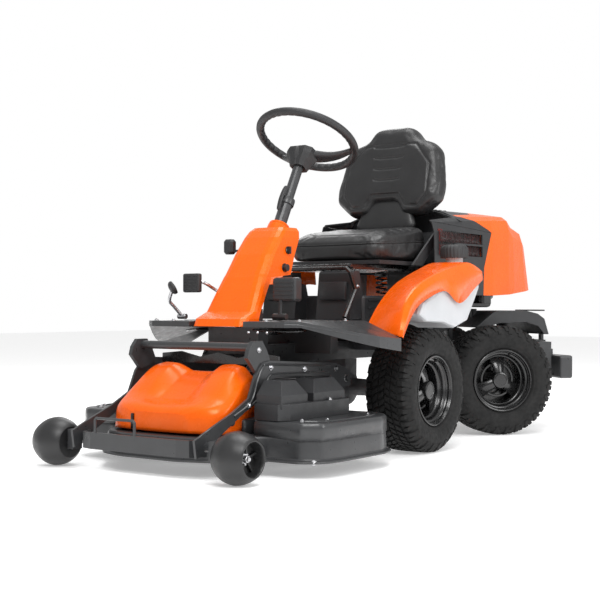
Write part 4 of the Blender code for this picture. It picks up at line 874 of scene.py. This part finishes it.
def add_backrest():
    outline = rounded_outline(mirrored_outline([(0.052, 0.082)] + BACK_HALF))
    bm = bmesh.new()
    rings = []
    levels = [(-0.010, 0.012), (-0.018, 0.002), (-0.040, -0.002), (-0.064, 0.001)]
    levels += [(-0.079, 0.012), (-0.084, 0.023)]
    for depth, inset in levels:
        rings.append([(x, depth, z) for x, z in shrunk(outline, inset)])
    add_rings(bm, rings)
    mesh = swollen(bm, 0.005, lambda p: p[1] > -0.012, 2.5)
    points = coordinates(mesh)
    front = points[:, 1] < -0.055
    panel_half = [(0.086, 0.068), (0.140, 0.064), (0.178, 0.112), (0.176, 0.225), (0.110, 0.305)]
    panel = mirrored_outline([(0.060, 0.112)] + panel_half)
    pressed(mesh, distance_to_line(points[:, [0, 2]], panel, True), 0.0045, 0.0036, front)
    for i, z in enumerate((0.300, 0.258, 0.215, 0.172)):
        points = coordinates(mesh)
        reach = 0.066 - 0.004 * i
        line = [(-reach, z), (-reach * 0.6, z - 0.004), (reach * 0.6, z - 0.004), (reach, z)]
        pressed(mesh, distance_to_line(points[:, [0, 2]], line), 0.0042, 0.0040, points[:, 1] < -0.055)
    pad = piece_of_mesh("seat_backrest_pad", mesh, "vinyl", "seat", BACK, 0, ["seat_backrest"])
    bm = bmesh.new()
    rings = []
    for z, half, front_y, back_y in NECK_LEVELS:
        ring = []
        for k in range(24):
            t = 2 * pi * k / 24
            across, deep = cos(t), sin(t)
            x = half * abs(across) ** 0.45 * (1 if across > 0 else -1)
            y = (front_y + back_y) / 2 + (back_y - front_y) / 2 * abs(deep) ** 0.7 * (1 if deep > 0 else -1)
            ring.append((x, y, z))
        rings.append(ring)
    add_rings(bm, rings)
    neck = piece("seat_backrest_neck", bm, "vinyl", "seat", BACK, 0, subdivide=1)


# ---------------------------------------------------------------- deck
COVER_LEVELS = [
    # y, half width, underside z, side top z, hump top z, valley top z
    (-0.868, 0.122, 0.120, 0.168, 0.176, 0.174),
    (-0.862, 0.150, 0.119, 0.176, 0.186, 0.184),
    (-0.850, 0.184, 0.118, 0.184, 0.197, 0.194),
    (-0.826, 0.208, 0.118, 0.190, 0.206, 0.200),
    (-0.800, 0.216, 0.118, 0.200, 0.222, 0.206),
    (-0.772, 0.217, 0.118, 0.222, 0.250, 0.222),
    (-0.745, 0.213, 0.118, 0.242, 0.274, 0.244),
    (-0.712, 0.207, 0.156, 0.264, 0.300, 0.266),
    (-0.678, 0.202, 0.156, 0.280, 0.311, 0.280),
    (-0.655, 0.199, 0.156, 0.274, 0.304, 0.284),
    (-0.635, 0.197, 0.156, 0.252, 0.279, 0.270),
    (-0.560, 0.194, 0.156, 0.236, 0.266, 0.258),
    (-0.500, 0.182, 0.156, 0.196, 0.232, 0.224),
]


CREASED_Y = (-0.800, -0.655)


def add_deck_cover():
    bm = bmesh.new()
    rings = []
    for y, half, low, side, hump, valley in COVER_LEVELS:
        points = [(half, low), (half - 0.003, (side + low) / 2 + 0.012), (half - 0.007, side - 0.010)]
        points += [(half - 0.022, side + 0.006), (half * 0.80, hump - 0.006), (half * 0.66, hump)]
        points += [(half * 0.46, hump - 0.002), (half * 0.34, hump * 0.45 + valley * 0.55)]
        points += [(half * 0.24, valley), (half * 0.08, valley - 0.001)]
        ring = points + [(-x, z) for x, z in reversed(points)]
        rings.append([(x, y, z) for x, z in ring])
    rows = add_rings(bm, rings, caps=False)
    front = [bm.verts.new((v.co.x * 0.97, v.co.y - 0.0005, v.co.z - 0.002)) for v in rows[0]]
    count = len(front)
    for i in range(count - 1):
        bm.faces.new((front[i], front[i + 1], rows[0][i + 1], rows[0][i]))
    for i in range(count // 2 - 1):
        j = count - 1 - i
        bm.faces.new((front[i], front[i + 1], front[j - 1], front[j]))
    for row, following in zip(rows, rows[1:]):
        # The underside is open.
        bm.faces.remove(bm.faces.get((row[-1], row[0], following[0], following[-1])))
    crease = bm.edges.layers.float.new("crease_edge")
    for edge in bm.edges:
        a, b = edge.verts
        if edge.is_boundary:
            edge[crease] = 1.0
            continue
        across = abs(a.co.y - b.co.y) < 1e-4
        if across and min(abs(a.co.y - y) for y in CREASED_Y) < 1e-5:
            edge[crease] = 0.62
        elif not across and a.co.z > 0.185 and -0.83 < a.co.y < -0.64:
            edge[crease] = 0.45
    cover = piece("deck_cover_moulded", bm, "orange", "deck", angle=0, stands_for=["deck_cover"])
    thick = cover.modifiers.new("wall", "SOLIDIFY")
    thick.thickness = 0.003
    thick.offset = -1
    smooth = cover.modifiers.new("smooth", "SUBSURF")
    smooth.levels = smooth.render_levels = 2
    bm = bmesh.new()
    add_box(bm, (-0.0985, -0.8740, 0.1200), (-0.0890, -0.8600, 0.1660), 0.002)
    add_box(bm, (0.150, -0.8000, 0.1190), (0.172, -0.7700, 0.1210), 0.0005)
    piece("deck_cover_slot", bm, "black_paint", "deck")
    bm = bmesh.new()
    add_rod(bm, (0.196, -0.795, 0.150), (0.227, -0.800, 0.152), 0.0115, 20, 0.003)
    add_rod(bm, (-0.196, -0.795, 0.150), (-0.227, -0.800, 0.152), 0.0115, 20, 0.003)
    piece("deck_cover_pegs", bm, "dark_plastic", "deck")


# The deck's right half from front to back: its side, its low apron, and the notch under a frame arm.
DECK_SIDE = [(0.420, -0.742), (0.468, -0.702), (0.478, -0.630), (0.478, -0.405), (0.452, -0.336)]
DECK_SIDE.append((0.392, -0.300))
APRON_FRONT = [(0.110, -0.902), (0.200, -0.872), (0.262, -0.790), (0.300, -0.748)]
NOTCHED_FRONT = [(0.222, -0.742), (0.228, -0.698), (0.243, -0.698), (0.250, -0.742)]


def both_sides(half):
    """An anticlockwise outline from its right half."""
    return [(-x, y) for x, y in reversed(half)] + half


def add_skin(bm, outline, levels, radius):
    """Rings of one rounded outline at several heights, closed over the top."""
    rings = []
    for z, inset in levels:
        rings.append([(x, y, z) for x, y in rounded_outline(shrunk(outline, inset), radius, 5)])
    rows = add_rings(bm, rings, caps=False)
    bm.faces.new(rows[-1])


def add_deck_shell():
    bm = bmesh.new()
    apron, body = both_sides(APRON_FRONT + DECK_SIDE), both_sides(NOTCHED_FRONT + DECK_SIDE)
    low = [(0.0435, -0.0118), (0.0440, -0.0129), (0.0475, -0.0130), (0.0500, -0.0105), (0.0520, -0.0030)]
    low += [(0.0560, 0.0), (0.0980, 0.0015), (0.1065, 0.0030), (0.1105, 0.0070), (0.1118, 0.0125)]
    add_skin(bm, apron, low, 0.022)
    high = [(0.1040, 0.0010), (0.1400, 0.0012), (0.1470, 0.0022), (0.1520, 0.0050), (0.1545, 0.0095)]
    add_skin(bm, body, high + [(0.1550, 0.0150)], 0.012)
    shell = piece("deck_shell_pressed", bm, "dark_paint", "deck", angle=30, stands_for=["deck_shell"])
    thick = shell.modifiers.new("wall", "SOLIDIFY")
    thick.thickness = 0.003
    thick.offset = -1


def add_deck_details():
    bm = bmesh.new()
    for side in (-1, 1):
        for x, y in ((0.300, -0.700), (0.300, -0.385), (0.352, -0.500), (0.232, -0.455)):
            if side > 0 or y > -0.65:
                add_bolt(bm, (side * x, y, 0.2025), (0, 0, 1), 0.0055)
        for x, y in ((0.440, -0.640), (0.440, -0.430), (0.395, -0.700)):
            add_bolt(bm, (side * x, y, 0.1560), (0, 0, 1), 0.0058)
    for x, y, z in ((0.452, -0.724, 0.047), (-0.452, -0.724, 0.047), (0.300, -0.742, 0.045)):
        add_bolt(bm, (x, y, z), (0.5 if x > 0 else -0.5, -1, 0), 0.0052)
    piece("deck_bolts", bm, "steel", "deck")
    bm = bmesh.new()
    for side in (-1, 1):
        rib = [(0.405, -0.700), (0.452, -0.640), (0.452, -0.430), (0.400, -0.340)]
        add_cord(bm, [(side * x, y, 0.1555) for x, y in rib], 0.0035, 6)
    piece("deck_ribs", bm, "dark_paint", "deck")


# ---------------------------------------------------------------- hood
def add_screen(bm, x, y_low, y_high, z_low, z_high, pitch=0.0085, wire=0.0013):
    """A woven mesh of thin bars in the plane of constant x, set on the diagonal."""
    width, height = y_high - y_low, z_high - z_low
    steps = int((width + height) / pitch)
    for i in range(1, steps):
        for lean in (1, -1):
            offset = i * pitch - height
            low, high = max(0.0, offset), min(width, offset + height)
            if high - low < 0.004:
                continue
            ends = []
            for along in (low, high):
                rise = along - offset if lean > 0 else height - (along - offset)
                ends.append(Vector((x + lean * 0.0006, y_low + along, z_low + rise)))
            direction = (ends[1] - ends[0]).normalized()
            across = direction.cross(Vector((1, 0, 0))) * wire
            deep = Vector((wire * 0.7, 0, 0))
            rings = [[end + across, end + deep, end - across, end - deep] for end in ends]
            add_rings(bm, rings)


def add_grilles():
    for side, name in ((1, "left"), (-1, "right")):
        bm = bmesh.new()
        for low_z, high_z in ((0.662, 0.708), (0.709, 0.753)):
            add_screen(bm, side * 0.2560, 0.345, 0.665, low_z, high_z)
        piece("grille_mesh_" + name, bm, "black_paint", "hood", angle=0)
        bm = bmesh.new()
        panel = [(0.345, 0.655), (0.668, 0.655), (0.668, 0.758), (0.345, 0.758)]
        add_plate(bm, panel, *sorted((side * 0.2465, side * 0.2480)), "X", 0)
        for k in range(9):
            y = 0.365 + 0.034 * k
            add_side_box(bm, side, (0.2478, y, 0.657), (0.2505, y + 0.010, 0.756), 0.0008)
        piece("grille_inner_" + name, bm, "red", "hood")
    bm = bmesh.new()
    for i in range(4):
        y = 0.522 + 0.036 * i
        add_box(bm, (-0.120, y, 0.836), (0.120, y + 0.012, 0.8468 + 0.0005 * i), 0.0015)
    lip = [(-0.262, 0.505, 0.790), (-0.150, 0.508, 0.838), (0, 0.510, 0.8475)]
    add_cord(bm, lip + [(-x, y, z) for x, y, z in reversed(lip[:2])], 0.0022, 6)
    piece("hood_top_ribs", bm, "dark_plastic", "hood")


def add_hood_details():
    bm = bmesh.new()
    wall = [(0.242, 0.600), (0.242, 0.745), (0.227, 0.786), (0.210, 0.808), (0.142, 0.832), (0, 0.838)]
    add_plate(bm, mirrored_outline(wall[:-1]), 0.5065, 0.5095, "Y")
    piece("hood_front_wall", bm, "dark_plastic", "hood")
    bm = bmesh.new()
    add_box(bm, (0.2520, 0.870, 0.5300), (0.2590, 0.905, 0.5520), 0.0015)
    add_box(bm, (-0.2590, 0.870, 0.5300), (-0.2520, 0.905, 0.5520), 0.0015)
    piece("hood_lenses", bm, "lens", "hood")
    bm = bmesh.new()
    add_box(bm, (-0.030, 1.020, 0.505), (0.030, 1.085, 0.535), 0.003)
    add_rod(bm, (-0.060, 1.0950, 0.530), (0.060, 1.0950, 0.530), 0.006, 16)
    piece("hood_hinge_barrel", bm, "dark_paint", "chassis")


# ---------------------------------------------------------------- chassis details
def add_chassis_details():
    bm = bmesh.new()
    places = [(0.285, -0.560), (0.185, -0.590), (-0.185, -0.590), (-0.285, -0.560)]
    places += [(0.275, -0.300), (-0.275, -0.300)]
    for x, y in places:
        add_bolt(bm, (x, y, 0.4335), (0, 0, 1), 0.0055)
    for x in (0.130, 0.165, 0.200):
        add_bolt(bm, (x, -0.6045, 0.400), (0, -1, 0), 0.0045, False)
    for side in (-1, 1):
        add_bolt(bm, (side * 0.1825, -0.085, 0.545), (side, 0, 0), 0.0055)
        add_bolt(bm, (side * 0.0855, -0.240, 0.260), (side, 0, 0), 0.0060)
    piece("chassis_bolts", bm, "steel", "chassis")
    bm = bmesh.new()
    for side in (-1, 1):
        for z in (0.445, 0.470, 0.495):
            add_side_box(bm, side, (0.1895, -0.030, z), (0.1925, 0.300, z + 0.007), 0.001)
        top = 0.560 if side > 0 else 0.530
        add_side_box(bm, side, (0.060, -0.1365, 0.500), (0.165, -0.1200, top), 0.003)
    piece("seat_support_ribs", bm, "dark_plastic", "chassis")
    bm = bmesh.new()
    for k in range(4):
        x = -0.075 + 0.045 * k
        line = [(x, -0.500, 0.398), (x + 0.02, -0.420, 0.392), (x - 0.01, -0.300, 0.398), (x, -0.150, 0.396)]
        add_cord(bm, line, 0.0042)
    for side, out in ((1, 0.010), (-1, 0.0)):
        line = [(side * 0.110, -0.560, 0.407), (side * (0.190 + out), -0.520, 0.402)]
        line += [(side * (0.205 + out), -0.430, 0.404), (side * 0.120, -0.340, 0.400)]
        add_cord(bm, line, 0.0036)
    piece("floor_cables", bm, "black_paint", "chassis", angle=0)
    bm = bmesh.new()
    for side in (-1, 1):
        rim = [(0.262, -0.6035, 0.424), (0.292, -0.5855, 0.424)]
        rim += [(0.360, -0.4990, 0.4065), (0.410, -0.4290, 0.391)]
        add_tube(bm, [(side * x, y, z) for x, y, z in rim], 0.0022, 8)
        for y in (-0.46, -0.42, -0.38, -0.34, -0.30, -0.26):
            add_side_box(bm, side, (0.125, y, 0.4325), (0.255, y + 0.010, 0.4350), 0.001)
    piece("floor_ribs", bm, "dark_paint", "chassis")


def add_console_details():
    bm = bmesh.new()
    for place, radius in (((0.0775, -0.334, 0.659), 0.0125), ((0.0810, -0.357, 0.602), 0.0140)):
        bore = radius - 0.0035
        ring = [(bore, -0.002), (bore, 0.0020), (bore + 0.001, 0.0028), (radius, 0.0020), (radius, -0.002)]
        add_turned(bm, ring, place, (1, 0, 0.12), 28)
    piece("console_bezels", bm, "black_paint", "chassis")
    bm = bmesh.new()
    collar = [(0.0226, -0.004), (0.0226, 0.004), (0.0300, 0.0045), (0.0335, 0.0020), (0.0345, -0.004)]
    add_turned(bm, collar, column_point(0.3385), COLUMN, 40)
    piece("console_collar_ring", bm, "orange", "chassis")


# ---------------------------------------------------------------- fenders
FENDER_STATIONS = [
    # (y, z) at the inner edge, at the crease and at the lower outer edge
    ((-0.181, 0.386), (-0.238, 0.386), (-0.228, 0.380)),
    ((-0.155, 0.424), (-0.224, 0.430), (-0.195, 0.425)),
    ((-0.094, 0.486), (-0.190, 0.495), (-0.145, 0.473)),
    ((-0.006, 0.546), (-0.110, 0.548), (-0.070, 0.505)),
    ((0.085, 0.583), (0.010, 0.587), (0.046, 0.529)),
    ((0.180, 0.612), (0.120, 0.611), (0.144, 0.489)),
    ((0.245, 0.630), (0.225, 0.628), (0.250, 0.540)),
    ((0.305, 0.630), (0.300, 0.612), (0.312, 0.572)),
]
RIGHT_FRONT = ((0.000, 0.540), (-0.050, 0.545), (-0.030, 0.500))


def add_fender(name, side, stations, inner_drop):
    """A smooth skin over the stations, with a crisp crease along its outer edge."""
    lines = [[Vector((y, z, 0)) for y, z in line] for line in zip(*stations)]
    inner, crease_line, low = (smooth_line(line, 5) for line in lines)
    bm = bmesh.new()
    rows = []
    for a, b, c in zip(inner, crease_line, low):
        row = [(0.262, a.x, a.y - inner_drop), (0.268, a.x, a.y - 0.002), (0.280, a.x, a.y + 0.001)]
        row.append((0.347, (a.x + b.x) / 2, (a.y + b.y) / 2 + 0.004))
        row += [(0.426, b.x + 0.001, b.y + 0.0012), (0.4325, b.x, b.y - 0.0015)]
        row.append((0.4445, (2 * b.x + c.x) / 3, (2 * b.y + c.y) / 3))
        row.append((0.4435, c.x, c.y))
        rows.append([bm.verts.new((side * x, y, z)) for x, y, z in row])
    for row, following in zip(rows, rows[1:]):
        for k in range(len(row) - 1):
            bm.faces.new((row[k], row[k + 1], following[k + 1], following[k]))
    fender = piece("fender_moulded_" + name, bm, "orange", "chassis", angle=26, stands_for=["fender_" + name])
    thick = fender.modifiers.new("wall", "SOLIDIFY")
    thick.thickness = 0.0035
    thick.offset = -1 if side > 0 else 1


def add_fenders():
    add_fender("left", 1, FENDER_STATIONS, 0.012)
    add_fender("right", -1, [RIGHT_FRONT] + FENDER_STATIONS[4:], 0.070)


# ---------------------------------------------------------------- pedals, levers and cap
def add_pedals():
    bm = bmesh.new()
    arm = [(-0.098, -0.455, 0.520), (-0.118, -0.470, 0.535), (-0.135, -0.505, 0.556), (-0.165, -0.515, 0.558)]
    add_tube(bm, smooth_line(arm, 5), 0.0055, 12)
    add_rod(bm, (-0.104, -0.455, 0.520), (-0.088, -0.455, 0.520), 0.0068, 16)
    piece("forward_pedal_arm", bm, "steel", "forward_pedal", stands_for=["forward_pedal"])
    bm = bmesh.new()
    foot = Vector((-0.240, -0.485, 0.446))
    arm = [foot, (-0.252, -0.515, 0.480), (-0.256, -0.530, 0.498), (-0.240, -0.534, 0.532)]
    add_tube(bm, smooth_line(arm, 5), 0.0055, 12)
    add_rod(bm, foot - Vector((0.017, 0, 0)), foot + Vector((0.017, 0, 0)), 0.0088, 20)
    piece("reverse_pedal_arm", bm, "steel", "reverse_pedal", stands_for=["reverse_pedal"])
    bm = bmesh.new()
    add_box(bm, (-0.200, -0.531, 0.523), (-0.131, -0.512, 0.584), 0.006, 3)
    for k in range(6):
        z = 0.529 + 0.0090 * k
        add_box(bm, (-0.194, -0.5325, z), (-0.137, -0.5300, z + 0.004), 0.0008)
    piece("forward_pedal_pad", bm, "grip", "forward_pedal")
    bm = bmesh.new()
    centre, axis = Vector((-0.233, -0.538, 0.539)), Vector((-0.5, -0.58, -0.45)).normalized()
    dome = [(0.0010, 0.0135), (0.0090, 0.0128), (0.0170, 0.0098), (0.0218, 0.0050), (0.0230, 0.0000)]
    dome += [(0.0218, -0.0046), (0.0120, -0.0070), (0.0010, -0.0074)]
    add_turned(bm, dome, centre, axis, 40, closed=False, caps=True)
    piece("reverse_pedal_pad", bm, "grip", "reverse_pedal")
    bm = bmesh.new()
    for k in range(5):
        z = 0.500 + 0.0125 * k
        add_box(bm, (0.124, -0.4775, z), (0.199, -0.4740, z + 0.006), 0.0012)
    piece("brake_pedal_ribs", bm, "grip", "brake_pedal")
    bm = bmesh.new()
    start, end = Vector((-0.225, -0.150, 0.545)), Vector((-0.225, -0.215, 0.5775))
    for k in range(7):
        centre = start.lerp(end, 0.12 + 0.12 * k)
        add_turned(bm, [(0.0140, -0.0022), (0.0154, 0.0), (0.0140, 0.0022)], centre, end - start, 24)
    piece("lift_lever_grip", bm, "grip", "lift_lever")


# z, radius, depth of the ribs
CAP_LEVELS = [(0.646, 0.0475, 0.0), (0.648, 0.0485, 0.0016), (0.676, 0.0485, 0.0020)]
CAP_LEVELS += [(0.684, 0.0462, 0.0016), (0.690, 0.0400, 0.0006), (0.692, 0.0330, 0.0)]
# z, half width, half depth
THROTTLE_LEVELS = [(0.650, 0.014, 0.011), (0.656, 0.019, 0.0145), (0.672, 0.020, 0.015)]
THROTTLE_LEVELS += [(0.688, 0.0185, 0.014), (0.698, 0.012, 0.009)]


def add_cap_and_lever():
    bm = bmesh.new()
    centre = Vector((0.360, 0.258, 0))
    rings = []
    for z, r, depth in CAP_LEVELS:
        ring = []
        for k in range(144):
            a = 2 * pi * k / 144
            bite = depth * (0.5 - 0.5 * cos(24 * a))
            ring.append(centre + Vector(((r - bite) * cos(a), (r - bite) * sin(a), z)))
        rings.append(ring)
    add_rings(bm, rings)
    bar = Vector((0.034, 0.006, 0))
    add_box(bm, centre - bar + Vector((0, 0, 0.6900)), centre + bar + Vector((0, 0, 0.6920)), 0.0009)
    piece("fuel_cap_ribbed", bm, "grip", "fuel_cap", stands_for=["fuel_cap"])
    bm = bmesh.new()
    rings = []
    for z, half_x, half_y in THROTTLE_LEVELS:
        ring = []
        for k in range(48):
            a = 2 * pi * k / 48
            bite = 1 - 0.06 * (0.5 - 0.5 * cos(8 * a))
            ring.append((-0.142 + half_x * bite * cos(a), -0.360 + half_y * bite * sin(a), z))
        rings.append(ring)
    add_rings(bm, rings)
    piece("throttle_grip", bm, "grip", "throttle_lever")


# ---------------------------------------------------------------- equipment frame
def add_equipment_details():
    bm = bmesh.new()
    for side in (-1, 1):
        x = side * 0.2395
        for y, z in ((-0.640, 0.300), (-0.742, 0.196), (-0.300, 0.283), (-0.470, 0.288)):
            add_bolt(bm, (x, y, z), (side, 0, 0), 0.0062)
        add_bolt(bm, (side * 0.2345, -0.690, 0.352), (side, 0, 0), 0.0060)
        add_bolt(bm, (side * 0.2395, -0.240, 0.250), (side, 0, 0), 0.0085)
    piece("equipment_bolts", bm, "steel", "equipment_frame")
    bm = bmesh.new()
    for side in (-1, 1):
        rib = [(-0.330, 0.291), (-0.640, 0.309), (-0.675, 0.303)]
        rib += [(-0.700, 0.270), (-0.733, 0.206), (-0.810, 0.170)]
        add_cord(bm, [(side * 0.2400, y, z) for y, z in rib], 0.0036, 5)
        low = [(-0.340, 0.274), (-0.600, 0.281), (-0.650, 0.273), (-0.680, 0.225), (-0.750, 0.187)]
        add_cord(bm, [(side * 0.2400, y, z) for y, z in low], 0.0026, 5)
    piece("arm_ribs", bm, "dark_paint", "equipment_frame")


# ---------------------------------------------------------------- rear section
def add_rear_details():
    bm = bmesh.new()
    add_box(bm, (-0.120, 1.165, 0.4598), (0.120, 1.185, 0.4655), 0.002)
    piece("rear_guard_rib", bm, "dark_plastic", "rear_section", REAR)
    bm = bmesh.new()
    for side in (-1, 1):
        for x, z in ((0.120, 0.262), (0.120, 0.293)):
            add_bolt(bm, (side * x, 1.2125, z), (0, 1, 0), 0.0055, False)
        add_bolt(bm, (side * 0.150, 1.1640, 0.320), (side, 0, 0), 0.0055, False)
    piece("rear_bolts", bm, "steel", "rear_section", REAR)


# ---------------------------------------------------------------- stage, lights and camera
def add_stage():
    bm = bmesh.new()
    half = 14.0
    corners = ((-half, -half), (half, -half), (half, half), (-half, half))
    bm.faces.new([bm.verts.new((x, y, 0)) for x, y in corners])
    mesh = bpy.data.meshes.new("floor")
    bm.to_mesh(mesh)
    bm.free()
    floor = bpy.data.objects.new("floor", mesh)
    material = bpy.data.materials.new("floor_white")
    material.use_nodes = True
    shader = material.node_tree.nodes["Principled BSDF"]
    socket(shader, "Base Color", (0.93, 0.93, 0.93, 1))
    socket(shader, "Roughness", 0.6)
    socket(shader, "Emission Color", (1, 1, 1, 1))
    socket(shader, "Emission Strength", 0.31)
    mesh.materials.append(material)
    bpy.context.scene.collection.objects.link(floor)


def add_lights():
    world = bpy.data.worlds.new("studio")
    world.use_nodes = True
    background = world.node_tree.nodes["Background"]
    background.inputs["Color"].default_value = (1, 1, 1, 1)
    background.inputs["Strength"].default_value = 0.62
    seen = world.node_tree.nodes.new("ShaderNodeLightPath")
    strength = world.node_tree.nodes.new("ShaderNodeMapRange")
    strength.inputs["To Min"].default_value = 0.62
    strength.inputs["To Max"].default_value = 1.0
    world.node_tree.links.new(seen.outputs["Is Camera Ray"], strength.inputs["Value"])
    world.node_tree.links.new(strength.outputs["Result"], background.inputs["Strength"])
    bpy.context.scene.world = world
    for name, place, target, size, power in (
        ("key", (2.2, -3.0, 3.6), (0, 0, 0.4), 2.0, 120),
        ("side", (4.2, 0.2, 2.0), (0, 0, 0.5), 1.8, 60),
        ("top", (0, 0.2, 4.4), (0, 0.1, 0.4), 2.4, 95),
        ("back", (-2.6, 3.0, 2.8), (0, 0, 0.6), 2.2, 45),
    ):
        data = bpy.data.lights.new(name, "AREA")
        data.shape = "SQUARE"
        data.size = size
        data.energy = power
        lamp = bpy.data.objects.new(name, data)
        lamp.location = place
        lamp.rotation_euler = (Vector(place) - Vector(target)).to_track_quat("Z", "Y").to_euler()
        bpy.context.scene.collection.objects.link(lamp)


def add_camera():
    data = bpy.data.cameras.new("camera")
    data.sensor_width = 36
    data.lens = 70.56
    data.shift_x = 0.01487
    data.shift_y = -0.00062
    camera = bpy.data.objects.new("camera", data)
    turn, rise = radians(36.15), radians(0.32)
    forward = Vector((-sin(turn) * cos(rise), cos(turn) * cos(rise), sin(rise)))
    right = Vector((cos(turn), sin(turn), 0))
    up = right.cross(forward)
    facing = Matrix((right, up, -forward)).transposed().to_4x4()
    camera.matrix_world = Matrix.Translation((2.30961, -3.51664, 0.479)) @ facing
    bpy.context.scene.collection.objects.link(camera)
    bpy.context.scene.camera = camera
    bpy.context.scene.view_settings.view_transform = "Standard"


dress_cad_nodes()
add_wheels()
add_support_wheels()
add_steering_wheel()
add_cushion()
add_backrest()
add_deck_cover()
add_deck_shell()
add_deck_details()
add_grilles()
add_hood_details()
add_chassis_details()
add_console_details()
add_fenders()
add_pedals()
add_cap_and_lever()
add_equipment_details()
add_rear_details()
add_stage()
add_lights()
add_camera()
